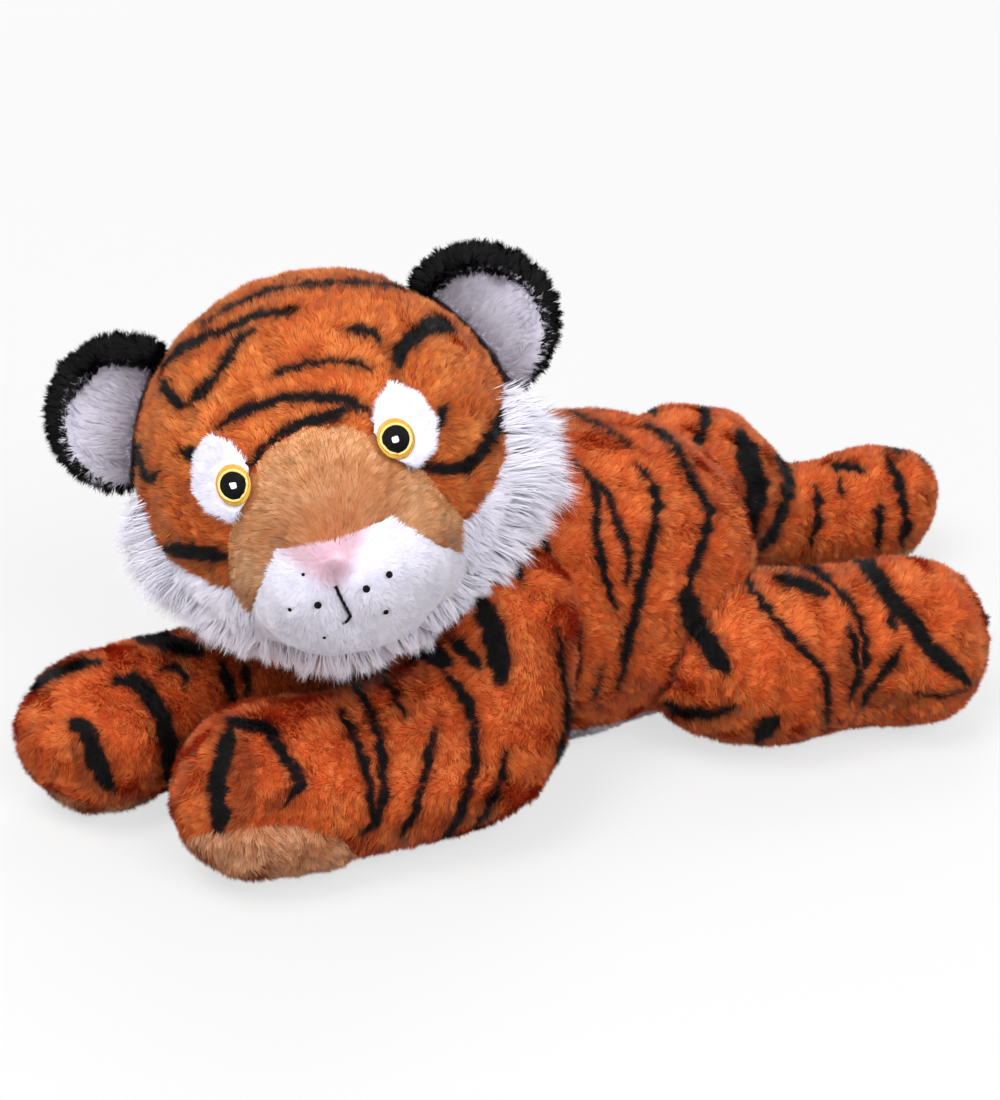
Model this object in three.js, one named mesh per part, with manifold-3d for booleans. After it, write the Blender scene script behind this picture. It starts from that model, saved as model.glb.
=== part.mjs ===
// A lying plush tiger, as the sewn panels, fillings, ears, soles and eyes that it is made of.
// Millimetres, +Z up. The tiger faces -Y, its left side is +X and its belly rests on Z = 0.
import * as THREE from 'three';
import { mergeVertices } from 'three/addons/utils/BufferGeometryUtils.js';
import Module from 'manifold-3d';

const wasm = await Module();
wasm.setup();

const { cos, sin, sqrt, min, floor, round, PI } = Math;
const fullTurn = 2 * PI;
const quarterTurn = PI / 2;
const radians = PI / 180;

// Fabric, seams and clearances
const pileThickness = 2.6; // plush backing and pile, as they fill out a panel
const seamGap = 0.3; // between panels that are sewn to each other
const fillGap = 0.3; // between a panel and the filling behind it
const legGap = 0.5; // between a leg and the torso that it is sewn to
const neckGap = 0.7; // between the head and the hollow of the shoulders that it turns in
const shoulderGap = 2.4; // between the head and the legs' shoulders, which move on their own
const tailGap = 0.6;
const earGap = 0.8; // at the root of an ear
const restDepth = 0.5; // how deep each leg and the tail are pressed flat where they lie
const bellyRestDepth = 3.4; // how deep the heavier torso is pressed flat
const overrun = 2; // how far a cutting shape reaches past what it cuts
const floorSpan = 640; // across the cut that presses the resting side flat
const floorDepth = 60;

// Facets round each kind of form
const innerFacetShare = 0.7; // round an inner surface, of those round the outer one
const torsoFacets = 28;
const legFacets = 16;
const tailFacets = 12;
const skullFacets = 30;
const muzzleFacets = 18;
const earFacets = 20;
const ruffFacets = 8;
const hollowFacets = 32;
const soleFacets = 20;
const rootFacets = 20;
const eyeFacets = 20;

// Torso
const torsoWidth = 96;
const torsoHeight = 99.7;
const torsoLength = 104;
const torsoMiddleShare = 0.54; // of its length, where the tiger's own middle lies
const bellyWidth = 62;
const bellyLength = 78;
const bellyRise = 13; // how high the belly panel reaches up the sides

// Head: a stuffed ball with a muzzle in front
const headRadius = 56.5;
const headAhead = 92; // middle of the head in front of the middle of the torso
const headHeight = 110;
const headTurn = 62; // degrees, to the tiger's left
const headLift = 28; // degrees that the face looks up
const headTilt = 16; // degrees that the crown leans to the tiger's right
const muzzleWidth = 62;
const muzzleHeight = 48;
const muzzleDepth = 60;
const neckWidth = 56;
const faceReach = 92; // how far a cut from in front starts ahead of the head's middle
const cheekReach = 17; // how far the white panel reaches back past the head's middle
const ruffWidth = 17; // across the fringe
const ruffThickness = 12;
const ruffAhead = 9; // of the head's middle
const ruffSeatShare = 0.25; // of the fringe's width, from the head to the fringe's middle

// Ears
const earWidth = 48;
const earHeight = 47;
const earDepth = 11; // of the cup, behind its rim
const liningThickness = 2.2;
const earWall = 2.6;

// Eyes
const eyeSpacing = 45;
const irisWidth = 10.6;
const irisHeight = 12.6;
const pupilWidth = 7;
const patchThickness = 1.4;
const irisThickness = 1;
const pupilThickness = 0.8;

// Legs, soles and tail
const frontLegLength = 132; // shoulder to paw
const frontLegThickness = 50;
const hindLegLength = 92; // hip to foot
const hindLegThickness = 58;
const frontSoleWidth = 54;
const hindSoleWidth = 40;
const tailLength = 112;
const tailThickness = 17;
const tailRootShare = 0.35; // of half its thickness, from the root's middle to its open end

const plush = (color) => new THREE.MeshStandardMaterial({ color, roughness: 0.95, metalness: 0 });
const thread = (color) => new THREE.MeshStandardMaterial({ color, roughness: 0.45, metalness: 0 });
const orangePlush = plush('#d2652a');
const whitePlush = plush('#ebe8f5');
const tanPlush = plush('#c88c5f');
const solePlush = plush('#be7d55');
const blackPlush = plush('#1e1a1a');
const fibre = plush('#f4f4f0');
const amberThread = thread('#eba528');
const blackThread = thread('#0f0f14');

// Groups: the head's own frame has X to the tiger's left, Y to its crown and Z out of its face.
const tiger = new THREE.Group();
const headTurned = new THREE.Group();
headTurned.position.set(0, -headAhead, headHeight);
headTurned.rotation.z = headTurn * radians;
const headLifted = new THREE.Group();
headLifted.rotation.x = quarterTurn - headLift * radians;
const head = new THREE.Group();
head.rotation.z = headTilt * radians;
tiger.add(headTurned);
headTurned.add(headLifted);
headLifted.add(head);
tiger.updateMatrixWorld(true);
const headCentre = headTurned.position;

// Solids

function solidOf(geometry) {
  const bare = geometry.clone();
  bare.deleteAttribute('normal');
  bare.deleteAttribute('uv');
  const merged = mergeVertices(bare);
  const solid = new wasm.Manifold(new wasm.Mesh({
    numProp: 3,
    vertProperties: new Float32Array(merged.attributes.position.array),
    triVerts: new Uint32Array(merged.index.array),
  }));
  return solid;
}

// The one main body of a cut: slivers that a cut leaves beside it are dropped.
function mainBody(solid) {
  const bodies = solid.decompose();
  return bodies.reduce((best, body) => (body.volume() > best.volume() ? body : best));
}

function addMesh(group, name, solid, material) {
  const { vertProperties, triVerts } = mainBody(solid).getMesh();
  const geometry = new THREE.BufferGeometry();
  geometry.setAttribute('position', new THREE.BufferAttribute(vertProperties, 3));
  geometry.setIndex(new THREE.BufferAttribute(triVerts, 1));
  geometry.computeVertexNormals();
  const mesh = new THREE.Mesh(geometry, material);
  mesh.name = name;
  group.add(mesh);
}

// Joins a first point, rings of equally many points and a last point into one closed solid.
function ringSolid(positions, sides) {
  const count = positions.length / 3;
  const rings = (count - 2) / sides;
  const point = (ring, side) => 1 + ring * sides + (side % sides);
  const index = [];
  for (let side = 0; side < sides; side += 1) {
    index.push(0, point(0, side + 1), point(0, side));
    for (let ring = 0; ring < rings - 1; ring += 1) {
      index.push(point(ring, side), point(ring, side + 1), point(ring + 1, side + 1));
      index.push(point(ring, side), point(ring + 1, side + 1), point(ring + 1, side));
    }
    index.push(count - 1, point(rings - 1, side), point(rings - 1, side + 1));
  }
  const geometry = new THREE.BufferGeometry();
  geometry.setAttribute('position', new THREE.BufferAttribute(new Float32Array(positions), 3));
  geometry.setIndex(index);
  return solidOf(geometry);
}

// A stuffed form: oval rings round a smooth line through its stations, with a rounded cap at each
// end. A station is { at, wide, high } with half sizes; grow moves the whole surface outwards.
function stuffedForm({ stations, capShares, steps, capRings, reference, ...shape }, grow = 0) {
  const sides = grow < 0 ? round(shape.sides * innerFacetShare) : shape.sides;
  const line = new THREE.CatmullRomCurve3(stations.map((station) => station.at));
  const last = stations.length - 1;
  const sizeAt = (t, key) => {
    const from = min(floor(t * last), last - 1);
    const ease = t * last - from;
    const share = ease * ease * (3 - 2 * ease);
    return stations[from][key] * (1 - share) + stations[from + 1][key] * share + grow;
  };
  const capDepth = (t, share) => share * sqrt(sizeAt(t, 'wide') * sizeAt(t, 'high'));
  const positions = [];
  const addPoint = (t, along) => {
    const tangent = line.getTangent(t);
    positions.push(...line.getPoint(t).addScaledVector(tangent, along).toArray());
  };
  const addRing = (t, along, scale) => {
    const tangent = line.getTangent(t);
    const centre = line.getPoint(t).addScaledVector(tangent, along);
    const across = reference.clone().addScaledVector(tangent, -reference.dot(tangent)).normalize();
    const upward = tangent.clone().cross(across);
    for (let side = 0; side < sides; side += 1) {
      const angle = (side / sides) * fullTurn;
      const point = centre.clone();
      point.addScaledVector(across, cos(angle) * sizeAt(t, 'wide') * scale);
      point.addScaledVector(upward, sin(angle) * sizeAt(t, 'high') * scale);
      positions.push(...point.toArray());
    }
  };
  const startDepth = capDepth(0, capShares[0]);
  const endDepth = capDepth(1, capShares[1]);
  addPoint(0, -startDepth);
  for (let ring = 1; ring < capRings; ring += 1) {
    const angle = (ring / capRings) * quarterTurn;
    addRing(0, -startDepth * cos(angle), sin(angle));
  }
  for (let step = 0; step <= steps; step += 1) {
    addRing(step / steps, 0, 1);
  }
  for (let ring = capRings - 1; ring > 0; ring -= 1) {
    const angle = (ring / capRings) * quarterTurn;
    addRing(1, endDepth * cos(angle), sin(angle));
  }
  addPoint(1, endDepth);
  return ringSolid(positions, sides);
}

function ellipsoid(centre, halfX, halfY, halfZ, sides) {
  const geometry = new THREE.SphereGeometry(1, sides, round(sides / 2));
  geometry.scale(halfX, halfY, halfZ);
  geometry.translate(centre.x, centre.y, centre.z);
  return solidOf(geometry);
}

function ball(centre, radius, sides) {
  return ellipsoid(centre, radius, radius, radius, sides);
}

function box(width, length, height, centre) {
  const geometry = new THREE.BoxGeometry(width, length, height);
  geometry.translate(centre.x, centre.y, centre.z);
  return solidOf(geometry);
}

// A prism along Z over an outline, from one height to another.
function prism(outline, from, to) {
  const shape = new THREE.Shape(outline.map(([x, y]) => new THREE.Vector2(x, y)));
  const geometry = new THREE.ExtrudeGeometry(shape, { depth: to - from, bevelEnabled: false });
  geometry.translate(0, 0, from);
  return solidOf(geometry);
}

// An outline moved outwards by a distance; it runs anticlockwise.
function widened(outline, distance) {
  const count = outline.length;
  return outline.map(([x, y], i) => {
    const [beforeX, beforeY] = outline[(i + count - 1) % count];
    const [afterX, afterY] = outline[(i + 1) % count];
    const into = new THREE.Vector2(x - beforeX, y - beforeY).normalize();
    const onward = new THREE.Vector2(afterX - x, afterY - y).normalize();
    const middle = new THREE.Vector2(into.y + onward.y, -into.x - onward.x).normalize();
    const stretch = distance / (middle.x * onward.y - middle.y * onward.x);
    return [x + middle.x * stretch, y + middle.y * stretch];
  });
}

function mirrored(halfShares) {
  const otherHalf = halfShares.filter(([x]) => x > 0).map(([x, y]) => [-x, y]).reverse();
  return [...halfShares, ...otherHalf];
}

// A form pressed flat where it lies; an inner surface is flat by as much above the floor.
const pressed = (make) => (grow) => {
  const floorCentre = new THREE.Vector3(0, 0, -grow - floorDepth / 2);
  return make(grow).subtract(box(floorSpan, floorSpan, floorDepth, floorCentre));
};

// Torso

function torsoShape() {
  // [share of the length from chest to rump, share of the width, share of the height]
  const shares = [[0.27, 0.95, 1.05], [0.42, 1, 1.07], [0.56, 1, 1.03], [0.68, 0.95, 0.94]];
  const stations = shares.map(([along, width, height]) => {
    const high = (height * torsoHeight) / 2;
    const at = new THREE.Vector3(0, (along - torsoMiddleShare) * torsoLength, high - bellyRestDepth);
    return { at, wide: (width * torsoWidth) / 2, high };
  });
  const reference = new THREE.Vector3(1, 0, 0);
  return { stations, capShares: [0.95, 0.66], sides: torsoFacets, steps: 6, capRings: 4, reference };
}

// Legs: each row of shares is [out to the side, back from the middle, lift, thickness], of half
// the torso's width, the leg's length, its half thickness and its half thickness.
const legs = [
  {
    name: 'front_leg_left',
    length: frontLegLength,
    thickness: frontLegThickness,
    shares: [
      [0.7, -0.38, 1.8, 0.9], [0.83, -0.45, 0.7, 1], [0.85, -0.6, 0.14, 1.08],
      [0.75, -0.79, 0.04, 1.04], [0.68, -1, 0, 1.1],
    ],
    soleWidth: frontSoleWidth,
    soleShares: [0.5, -0.2, -0.78],
  },
  {
    name: 'front_leg_right',
    length: frontLegLength,
    thickness: frontLegThickness,
    shares: [
      [-0.74, -0.34, 1.45, 0.9], [-0.84, -0.41, 0.6, 1], [-0.86, -0.56, 0.04, 0.98],
      [-0.6, -0.9, 0, 0.86], [-0.42, -1.22, 0, 1.04],
    ],
    soleWidth: frontSoleWidth,
    soleShares: [0, -0.4, -0.85],
  },
  {
    name: 'hind_leg_left',
    length: hindLegLength,
    thickness: hindLegThickness,
    shares: [[0.7, 0.2, 0.2, 1], [0.9, 0.4, 0, 1.02], [1.01, 0.67, 0.12, 0.9], [1.11, 0.9, 0, 0.97]],
    soleWidth: hindSoleWidth,
    soleShares: [0.1, 0.5, -0.7],
  },
  {
    name: 'hind_leg_right',
    length: hindLegLength,
    thickness: hindLegThickness,
    shares: [
      [-0.8, 0.45, 0.38, 1], [-1.02, 0.74, 0.1, 1.08], [-0.92, 1.08, 0, 0.66], [-0.68, 1.43, 0, 0.76],
    ],
    soleWidth: hindSoleWidth,
    soleShares: [0.1, 0.5, -0.7],
  },
];

function legShape({ shares, length, thickness }) {
  const half = thickness / 2;
  const stations = shares.map(([side, back, lift, width]) => {
    const high = half * width;
    const at = new THREE.Vector3((side * torsoWidth) / 2, back * length, high + lift * half - restDepth);
    return { at, wide: high, high };
  });
  const reference = new THREE.Vector3(1, 0, 0);
  return { stations, capShares: [1, 0.92], sides: legFacets, steps: 8, capRings: 3, reference };
}

// The tail lies on the floor between the hind legs.
function tailShape() {
  // [share of half the torso's width to the side, share of the tail's length, lift in thicknesses]
  const shares = [[0, 0.385, 1.3], [0.05, 0.58, 0.25], [0.3, 0.82, 0], [0.62, 1.12, 0]];
  const half = tailThickness / 2;
  const stations = shares.map(([side, back, lift]) => {
    const height = half + lift * tailThickness - restDepth;
    const at = new THREE.Vector3((side * torsoWidth) / 2, back * tailLength, height);
    return { at, wide: half, high: half };
  });
  const reference = new THREE.Vector3(1, 0, 0);
  return { stations, capShares: [1, 1], sides: tailFacets, steps: 8, capRings: 3, reference };
}

const shellOf = (make) => make(0).subtract(make(-pileThickness));
const fillingOf = (make) => make(-pileThickness - fillGap);

function buildTorso() {
  const shape = torsoShape();
  const tail = tailShape();
  const form = pressed((grow) => stuffedForm(shape, grow));
  const hollows = ball(headCentre, headRadius + neckGap, hollowFacets)
    .add(ball(tail.stations[0].at, tailThickness / 2 + tailGap, rootFacets));
  const skin = shellOf(form).subtract(hollows);
  const bellyCentre = new THREE.Vector3(0, 0, bellyRise / 2);
  const belly = (grow) => box(
    bellyWidth + 2 * grow, bellyLength + 2 * grow, bellyRise + 2 * grow, bellyCentre,
  );
  const half = (sign) => box(
    torsoWidth, torsoLength + torsoWidth, torsoHeight + torsoWidth,
    new THREE.Vector3((sign * (torsoWidth + seamGap)) / 2, 0, torsoHeight / 2),
  );
  const sides = skin.subtract(belly(seamGap));
  addMesh(tiger, 'torso_side_left', sides.intersect(half(1)), orangePlush);
  addMesh(tiger, 'torso_side_right', sides.intersect(half(-1)), orangePlush);
  addMesh(tiger, 'belly_panel', skin.intersect(belly(0)), whitePlush);
  addMesh(tiger, 'torso_filling', fillingOf(form).subtract(hollows), fibre);
}

function buildLeg(leg) {
  const shape = legShape(leg);
  const form = pressed((grow) => stuffedForm(shape, grow));
  const cutters = stuffedForm(torsoShape(), legGap)
    .add(ball(headCentre, headRadius + shoulderGap, hollowFacets));
  const foot = shape.stations.at(-1);
  const soleCentre = new THREE.Vector3(...leg.soleShares).multiplyScalar(foot.wide).add(foot.at);
  const sole = (grow) => ball(soleCentre, leg.soleWidth / 2 + grow, soleFacets);
  const skin = shellOf(form).subtract(cutters);
  addMesh(tiger, `${leg.name}_skin`, skin.subtract(sole(seamGap)), orangePlush);
  addMesh(tiger, `${leg.name}_sole`, skin.intersect(sole(0)), solePlush);
  addMesh(tiger, `${leg.name}_filling`, fillingOf(form).subtract(cutters), fibre);
}

function buildTail() {
  const shape = tailShape();
  const form = pressed((grow) => stuffedForm(shape, grow));
  // The root is open where the tail is sewn to the torso.
  const root = shape.stations[0].at.clone();
  root.y -= (tailRootShare * tailThickness) / 2 + tailThickness / 2;
  const mouth = box(tailThickness, tailThickness, tailThickness, root);
  addMesh(tiger, 'tail_skin', shellOf(form).subtract(mouth), orangePlush);
  addMesh(tiger, 'tail_filling', fillingOf(form).subtract(mouth), fibre);
}

// Head, in its own frame; outlines of panels are shares of the head's radius, seen from in front
const bridgeShares = mirrored([
  [0, -0.4], [0.27, -0.36], [0.42, -0.52], [0.52, -0.62], [0.6, -0.47], [0.5, -0.22],
  [0.34, 0], [0.2, 0.12], [0, 0.17],
]);
const muzzleShares = mirrored([
  [0, -0.98], [0.3, -0.95], [0.5, -0.8], [0.56, -0.66], [0.4, -0.5], [0.26, -0.34], [0, -0.38],
]);
const cheekShares = mirrored([
  [0, -1.3], [1.3, -1.3], [1.3, -0.1], [1, -0.17], [0.8, -0.36], [0.62, -0.46], [0, -0.46],
]);
const patchShares = [
  [0.31, 0.06], [0.36, -0.08], [0.46, -0.17], [0.56, -0.1], [0.61, 0.03], [0.56, 0.18], [0.45, 0.27],
  [0.36, 0.19],
];

const scaled = (shares, size) => shares.map(([x, y]) => [x * size, y * size]);
const flipped = (outline) => outline.map(([x, y]) => [-x, y]).reverse();

function ovalOutline(centreX, centreY, width, height, points) {
  return Array.from({ length: points }, (_, i) => {
    const angle = (i / points) * fullTurn;
    return [centreX + (cos(angle) * width) / 2, centreY + (sin(angle) * height) / 2];
  });
}

const muzzlePlaceShares = [0, -0.54, 0.66]; // middle of the muzzle, of the head's radius

function headForm(grow) {
  const muzzleCentre = new THREE.Vector3(...muzzlePlaceShares).multiplyScalar(headRadius);
  const share = grow < 0 ? innerFacetShare : 1;
  const skull = ball(new THREE.Vector3(), headRadius + grow, round(skullFacets * share));
  const muzzle = ellipsoid(
    muzzleCentre, muzzleWidth / 2 + grow, muzzleHeight / 2 + grow, muzzleDepth / 2 + grow,
    round(muzzleFacets * share),
  );
  return skull.add(muzzle);
}

function neckCutter() {
  // The opening at the back of the head points at the hollow between the shoulders.
  const towards = new THREE.Vector3(0, 0, torsoHeight / 2).sub(headCentre).normalize();
  const geometry = new THREE.CylinderGeometry(neckWidth / 2, neckWidth / 2, headRadius * 2, hollowFacets);
  geometry.translate(0, headRadius, 0);
  const upright = new THREE.Vector3(0, 1, 0);
  geometry.applyQuaternion(new THREE.Quaternion().setFromUnitVectors(upright, towards));
  geometry.translate(...headCentre.toArray());
  geometry.applyMatrix4(head.matrixWorld.clone().invert());
  return solidOf(geometry);
}

function buildHeadPanels() {
  const shell = shellOf(headForm).subtract(neckCutter());
  const bridge = scaled(bridgeShares, headRadius);
  const muzzle = scaled(muzzleShares, headRadius);
  const cheek = scaled(cheekShares, headRadius);
  const cut = (outline, from, grow) => prism(grow ? widened(outline, grow) : outline, from - grow, faceReach);
  const bridgeCut = cut(bridge, 0, seamGap);
  const muzzleCut = cut(muzzle, 0, seamGap);
  const crown = shell.subtract(bridgeCut).subtract(muzzleCut).subtract(cut(cheek, -cheekReach, seamGap));
  addMesh(head, 'head_crown', crown, orangePlush);
  addMesh(head, 'snout_bridge', shell.intersect(cut(bridge, 0, 0)), tanPlush);
  addMesh(head, 'muzzle_front', shell.intersect(cut(muzzle, 0, 0)).subtract(bridgeCut), whitePlush);
  const cheeks = shell.intersect(cut(cheek, -cheekReach, 0)).subtract(bridgeCut).subtract(muzzleCut);
  addMesh(head, 'cheek_panel', cheeks, whitePlush);
  addMesh(head, 'head_filling', fillingOf(headForm), fibre);
}

// Each layer of an eye lies on the one below it, over the curve of the face.
function buildEyes() {
  const layer = (from, thickness) => headForm(from + thickness).subtract(headForm(from));
  const patchBase = seamGap;
  const irisBase = patchBase + patchThickness + seamGap;
  const pupilBase = irisBase + irisThickness + seamGap;
  const patchLayer = layer(patchBase, patchThickness);
  const irisLayer = layer(irisBase, irisThickness);
  const pupilLayer = layer(pupilBase, pupilThickness);
  const patch = scaled(patchShares, headRadius);
  const iris = ovalOutline(eyeSpacing / 2, 0, irisWidth, irisHeight, eyeFacets);
  const pupil = ovalOutline(eyeSpacing / 2, 0, pupilWidth, pupilWidth, eyeFacets);
  for (const [side, place] of [['left', (outline) => outline], ['right', flipped]]) {
    const over = (outline) => prism(place(outline), 0, faceReach);
    addMesh(head, `eye_patch_${side}`, patchLayer.intersect(over(patch)), whitePlush);
    addMesh(head, `eye_iris_${side}`, irisLayer.intersect(over(iris)), amberThread);
    addMesh(head, `eye_pupil_${side}`, pupilLayer.intersect(over(pupil)), blackThread);
  }
}

const earPlaceShares = [0.92, 0.5, -0.08]; // middle of the left ear's rim, of the head's radius

function buildEar(side, sign) {
  const centre = new THREE.Vector3(...earPlaceShares).multiplyScalar(headRadius);
  centre.x *= sign;
  const cup = (inset) => ellipsoid(
    centre, earWidth / 2 - inset, earHeight / 2 - inset, earDepth - inset, earFacets,
  );
  const depth = earDepth + overrun;
  const infront = box(
    earWidth + overrun, earHeight + overrun, depth,
    centre.clone().add(new THREE.Vector3(0, 0, depth / 2)),
  );
  const skull = ball(new THREE.Vector3(), headRadius + earGap, skullFacets);
  const back = cup(0).subtract(cup(earWall)).subtract(infront).subtract(skull);
  const liningOuter = earWall + seamGap;
  const lining = cup(liningOuter).subtract(cup(liningOuter + liningThickness));
  addMesh(head, `ear_back_${side}`, back, blackPlush);
  addMesh(head, `ear_lining_${side}`, lining.subtract(infront).subtract(skull), whitePlush);
}

function buildRuff(side, sign) {
  // [degrees below the ear line, share of the ruff's width, share of its thickness]
  const shares = [[0, 0.5, 0.6], [13, 1, 1], [26, 0.9, 1], [38, 0.5, 0.6]];
  const stations = shares.map(([fall, width, thickness]) => {
    const out = headRadius + ruffWidth * width * ruffSeatShare;
    const angle = -fall * radians;
    return {
      at: new THREE.Vector3(sign * cos(angle) * out, sin(angle) * out, ruffAhead),
      wide: (ruffThickness * thickness) / 2,
      high: (ruffWidth * width) / 2,
    };
  });
  const reference = new THREE.Vector3(0, 0, 1);
  const shape = { stations, capShares: [0.7, 0.7], sides: ruffFacets, steps: 8, capRings: 2, reference };
  const form = stuffedForm(shape);
  const skull = ball(new THREE.Vector3(), headRadius + seamGap, skullFacets);
  addMesh(head, `ruff_${side}`, form.subtract(skull), whitePlush);
}

buildTorso();
legs.forEach(buildLeg);
buildTail();
buildHeadPanels();
buildEyes();
for (const [side, sign] of [['left', 1], ['right', -1]]) {
  buildEar(side, sign);
  buildRuff(side, sign);
}

export default tiger;
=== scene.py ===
import math

import bpy
import numpy as np
from mathutils import Matrix, Vector
from mathutils.bvhtree import BVHTree


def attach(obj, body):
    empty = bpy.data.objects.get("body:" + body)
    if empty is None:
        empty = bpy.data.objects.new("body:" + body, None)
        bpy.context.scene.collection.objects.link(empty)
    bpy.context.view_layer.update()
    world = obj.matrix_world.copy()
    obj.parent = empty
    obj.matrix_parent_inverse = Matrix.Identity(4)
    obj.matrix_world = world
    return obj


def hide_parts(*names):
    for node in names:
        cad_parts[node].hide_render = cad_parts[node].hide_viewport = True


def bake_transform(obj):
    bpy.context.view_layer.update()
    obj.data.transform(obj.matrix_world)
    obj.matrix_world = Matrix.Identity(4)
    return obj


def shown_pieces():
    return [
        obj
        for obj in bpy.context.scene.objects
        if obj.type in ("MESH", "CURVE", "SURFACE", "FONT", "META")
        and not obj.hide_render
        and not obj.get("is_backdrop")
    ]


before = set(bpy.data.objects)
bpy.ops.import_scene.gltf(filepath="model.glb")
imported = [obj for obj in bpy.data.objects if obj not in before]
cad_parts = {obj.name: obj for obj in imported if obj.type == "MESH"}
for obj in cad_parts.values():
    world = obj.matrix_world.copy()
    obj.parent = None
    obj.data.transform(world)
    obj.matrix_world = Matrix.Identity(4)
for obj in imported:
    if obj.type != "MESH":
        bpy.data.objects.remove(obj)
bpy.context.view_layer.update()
mm = 0.001
scene = bpy.context.scene


def say(text):
    print("tiger:", text)


# The camera comes first, because the stripes are laid out as it sees them

camera = {
    "azimuth": 62,  # degrees round from the tiger's front to its left
    "elevation": 30,
    "distance": 960,  # mm
    "aim": (-99.3, 17.7, 0),  # mm
    "lens": 97.2,  # mm, on a sensor 36 mm wide
    "sensor": 36,
    "frameWide": 1000,  # px of the whole picture
    "frameHigh": 1100,
    "clipEnd": 20,  # m
}


def cameraAxes():
    a, e = math.radians(camera["azimuth"]), math.radians(camera["elevation"])
    back = np.array([math.sin(a) * math.cos(e), -math.cos(a) * math.cos(e), math.sin(e)])
    right = np.array([math.cos(a), math.sin(a), 0])
    return back, right, np.cross(back, right)


def makeCamera():
    back, right, up = cameraAxes()
    place = np.array(camera["aim"]) + back * camera["distance"]
    data = bpy.data.cameras.new("photoCamera")
    data.sensor_fit = "HORIZONTAL"
    data.sensor_width = camera["sensor"]
    data.lens = camera["lens"]
    data.clip_end = camera["clipEnd"]
    item = bpy.data.objects.new("photoCamera", data)
    scene.collection.objects.link(item)
    item.matrix_world = Matrix.Translation(place * mm) @ Matrix(
        [[right[i], up[i], back[i]] for i in range(3)]
    ).to_4x4()
    scene.camera = item


def seenAt(points):
    # where the camera sees points given in mm, in px of the picture
    back, right, up = cameraAxes()
    q = points - (np.array(camera["aim"]) + back * camera["distance"])
    depth = -q @ back
    focal = camera["lens"] / camera["sensor"] * camera["frameWide"]
    x = camera["frameWide"] / 2 + focal * (q @ right) / depth
    y = camera["frameHigh"] / 2 - focal * (q @ up) / depth
    return x, y


def rayThrough(x, y):
    back, right, up = cameraAxes()
    focal = camera["lens"] / camera["sensor"] * camera["frameWide"]
    start = np.array(camera["aim"]) + back * camera["distance"]
    way = -back + right * (x - camera["frameWide"] / 2) / focal
    way = way + up * (camera["frameHigh"] / 2 - y) / focal
    return start, way / np.linalg.norm(way)


makeCamera()
say("camera is up")

# Small tools for meshes


def clearSelection():
    for item in bpy.context.selected_objects:
        item.select_set(False)


def makeActive(item):
    clearSelection()
    item.select_set(True)
    bpy.context.view_layer.objects.active = item


def applyModifier(item, kind, **settings):
    makeActive(item)
    modifier = item.modifiers.new("Work", kind)
    for key, value in settings.items():
        setattr(modifier, key, value)
    bpy.ops.object.modifier_apply(modifier=modifier.name)


def copyNodes(name, nodes):
    # a merged copy of CAD nodes, as one new object
    copies = []
    for node in nodes:
        item = bpy.data.objects.new(name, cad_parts[node].data.copy())
        item.data.materials.clear()
        scene.collection.objects.link(item)
        copies.append(item)
    makeActive(copies[0])
    for item in copies:
        item.select_set(True)
    if len(copies) > 1:
        bpy.ops.object.join()
    bpy.ops.object.mode_set(mode="EDIT")
    bpy.ops.mesh.select_all(action="SELECT")
    bpy.ops.mesh.remove_doubles(threshold=0.02 * mm)
    bpy.ops.object.mode_set(mode="OBJECT")
    return copies[0]


def placesOf(item):
    found = np.empty(len(item.data.vertices) * 3, np.float32)
    item.data.vertices.foreach_get("co", found)
    return found.reshape(-1, 3).astype(float) / mm


def setPlaces(item, points):
    item.data.vertices.foreach_set("co", (points * mm).astype(np.float32).ravel())
    item.data.update()


def normalsOf(item):
    found = np.empty(len(item.data.vertices) * 3, np.float32)
    item.data.vertex_normals.foreach_get("vector", found)
    return found.reshape(-1, 3).astype(float)


def unit(vectors):
    return vectors / np.maximum(np.linalg.norm(vectors, axis=1, keepdims=True), 1e-9)


def ease(low, high, value):
    share = np.clip((value - low) / (high - low), 0, 1)
    return share * share * (3 - 2 * share)


waves = {"count": 7, "rate": (0.6, 1.3), "height": 2.6}  # so many waves add up to about this height


def ripple(points, size, seed):
    # smooth noise between about -1 and 1, whose bumps are about this many mm apart
    chance = np.random.default_rng(seed)
    total = np.zeros(len(points))
    for _ in range(waves["count"]):
        way = chance.normal(size=3)
        way = way / np.linalg.norm(way) * (2 * math.pi / size) * chance.uniform(*waves["rate"])
        total = total + np.sin(points @ way + chance.uniform(0, 2 * math.pi))
    return total / waves["height"]


def inside(x, y, outline):
    # which flat points lie inside a closed outline
    found = np.zeros(len(x), bool)
    last = outline[-1]
    for corner in outline:
        (x1, y1), (x2, y2) = last, corner
        crosses = (y1 > y) != (y2 > y)
        reach = (x2 - x1) * (y - y1) / (y2 - y1 if y2 != y1 else 1e-9) + x1
        found ^= crosses & (x < reach)
        last = corner
    return found


def lineGap(x, y, line):
    # how far flat points are from an open line, and how far along it the nearest place is
    gap, along = np.full(len(x), 1e9), np.zeros(len(x))
    points = np.array(line, float)
    steps = np.linalg.norm(np.diff(points, axis=0), axis=1)
    before = np.concatenate([[0], np.cumsum(steps)]) / steps.sum()
    for i in range(len(steps)):
        start, way = points[i], points[i + 1] - points[i]
        share = np.clip(((x - start[0]) * way[0] + (y - start[1]) * way[1]) / (way @ way), 0, 1)
        here = np.hypot(x - start[0] - share * way[0], y - start[1] - share * way[1])
        nearer = here < gap
        gap = np.where(nearer, here, gap)
        along = np.where(nearer, before[i] + share * steps[i] / steps.sum(), along)
    return gap, along


# The head's own frame: X to the tiger's left, Y to its crown, Z out of its face, in mm

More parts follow.
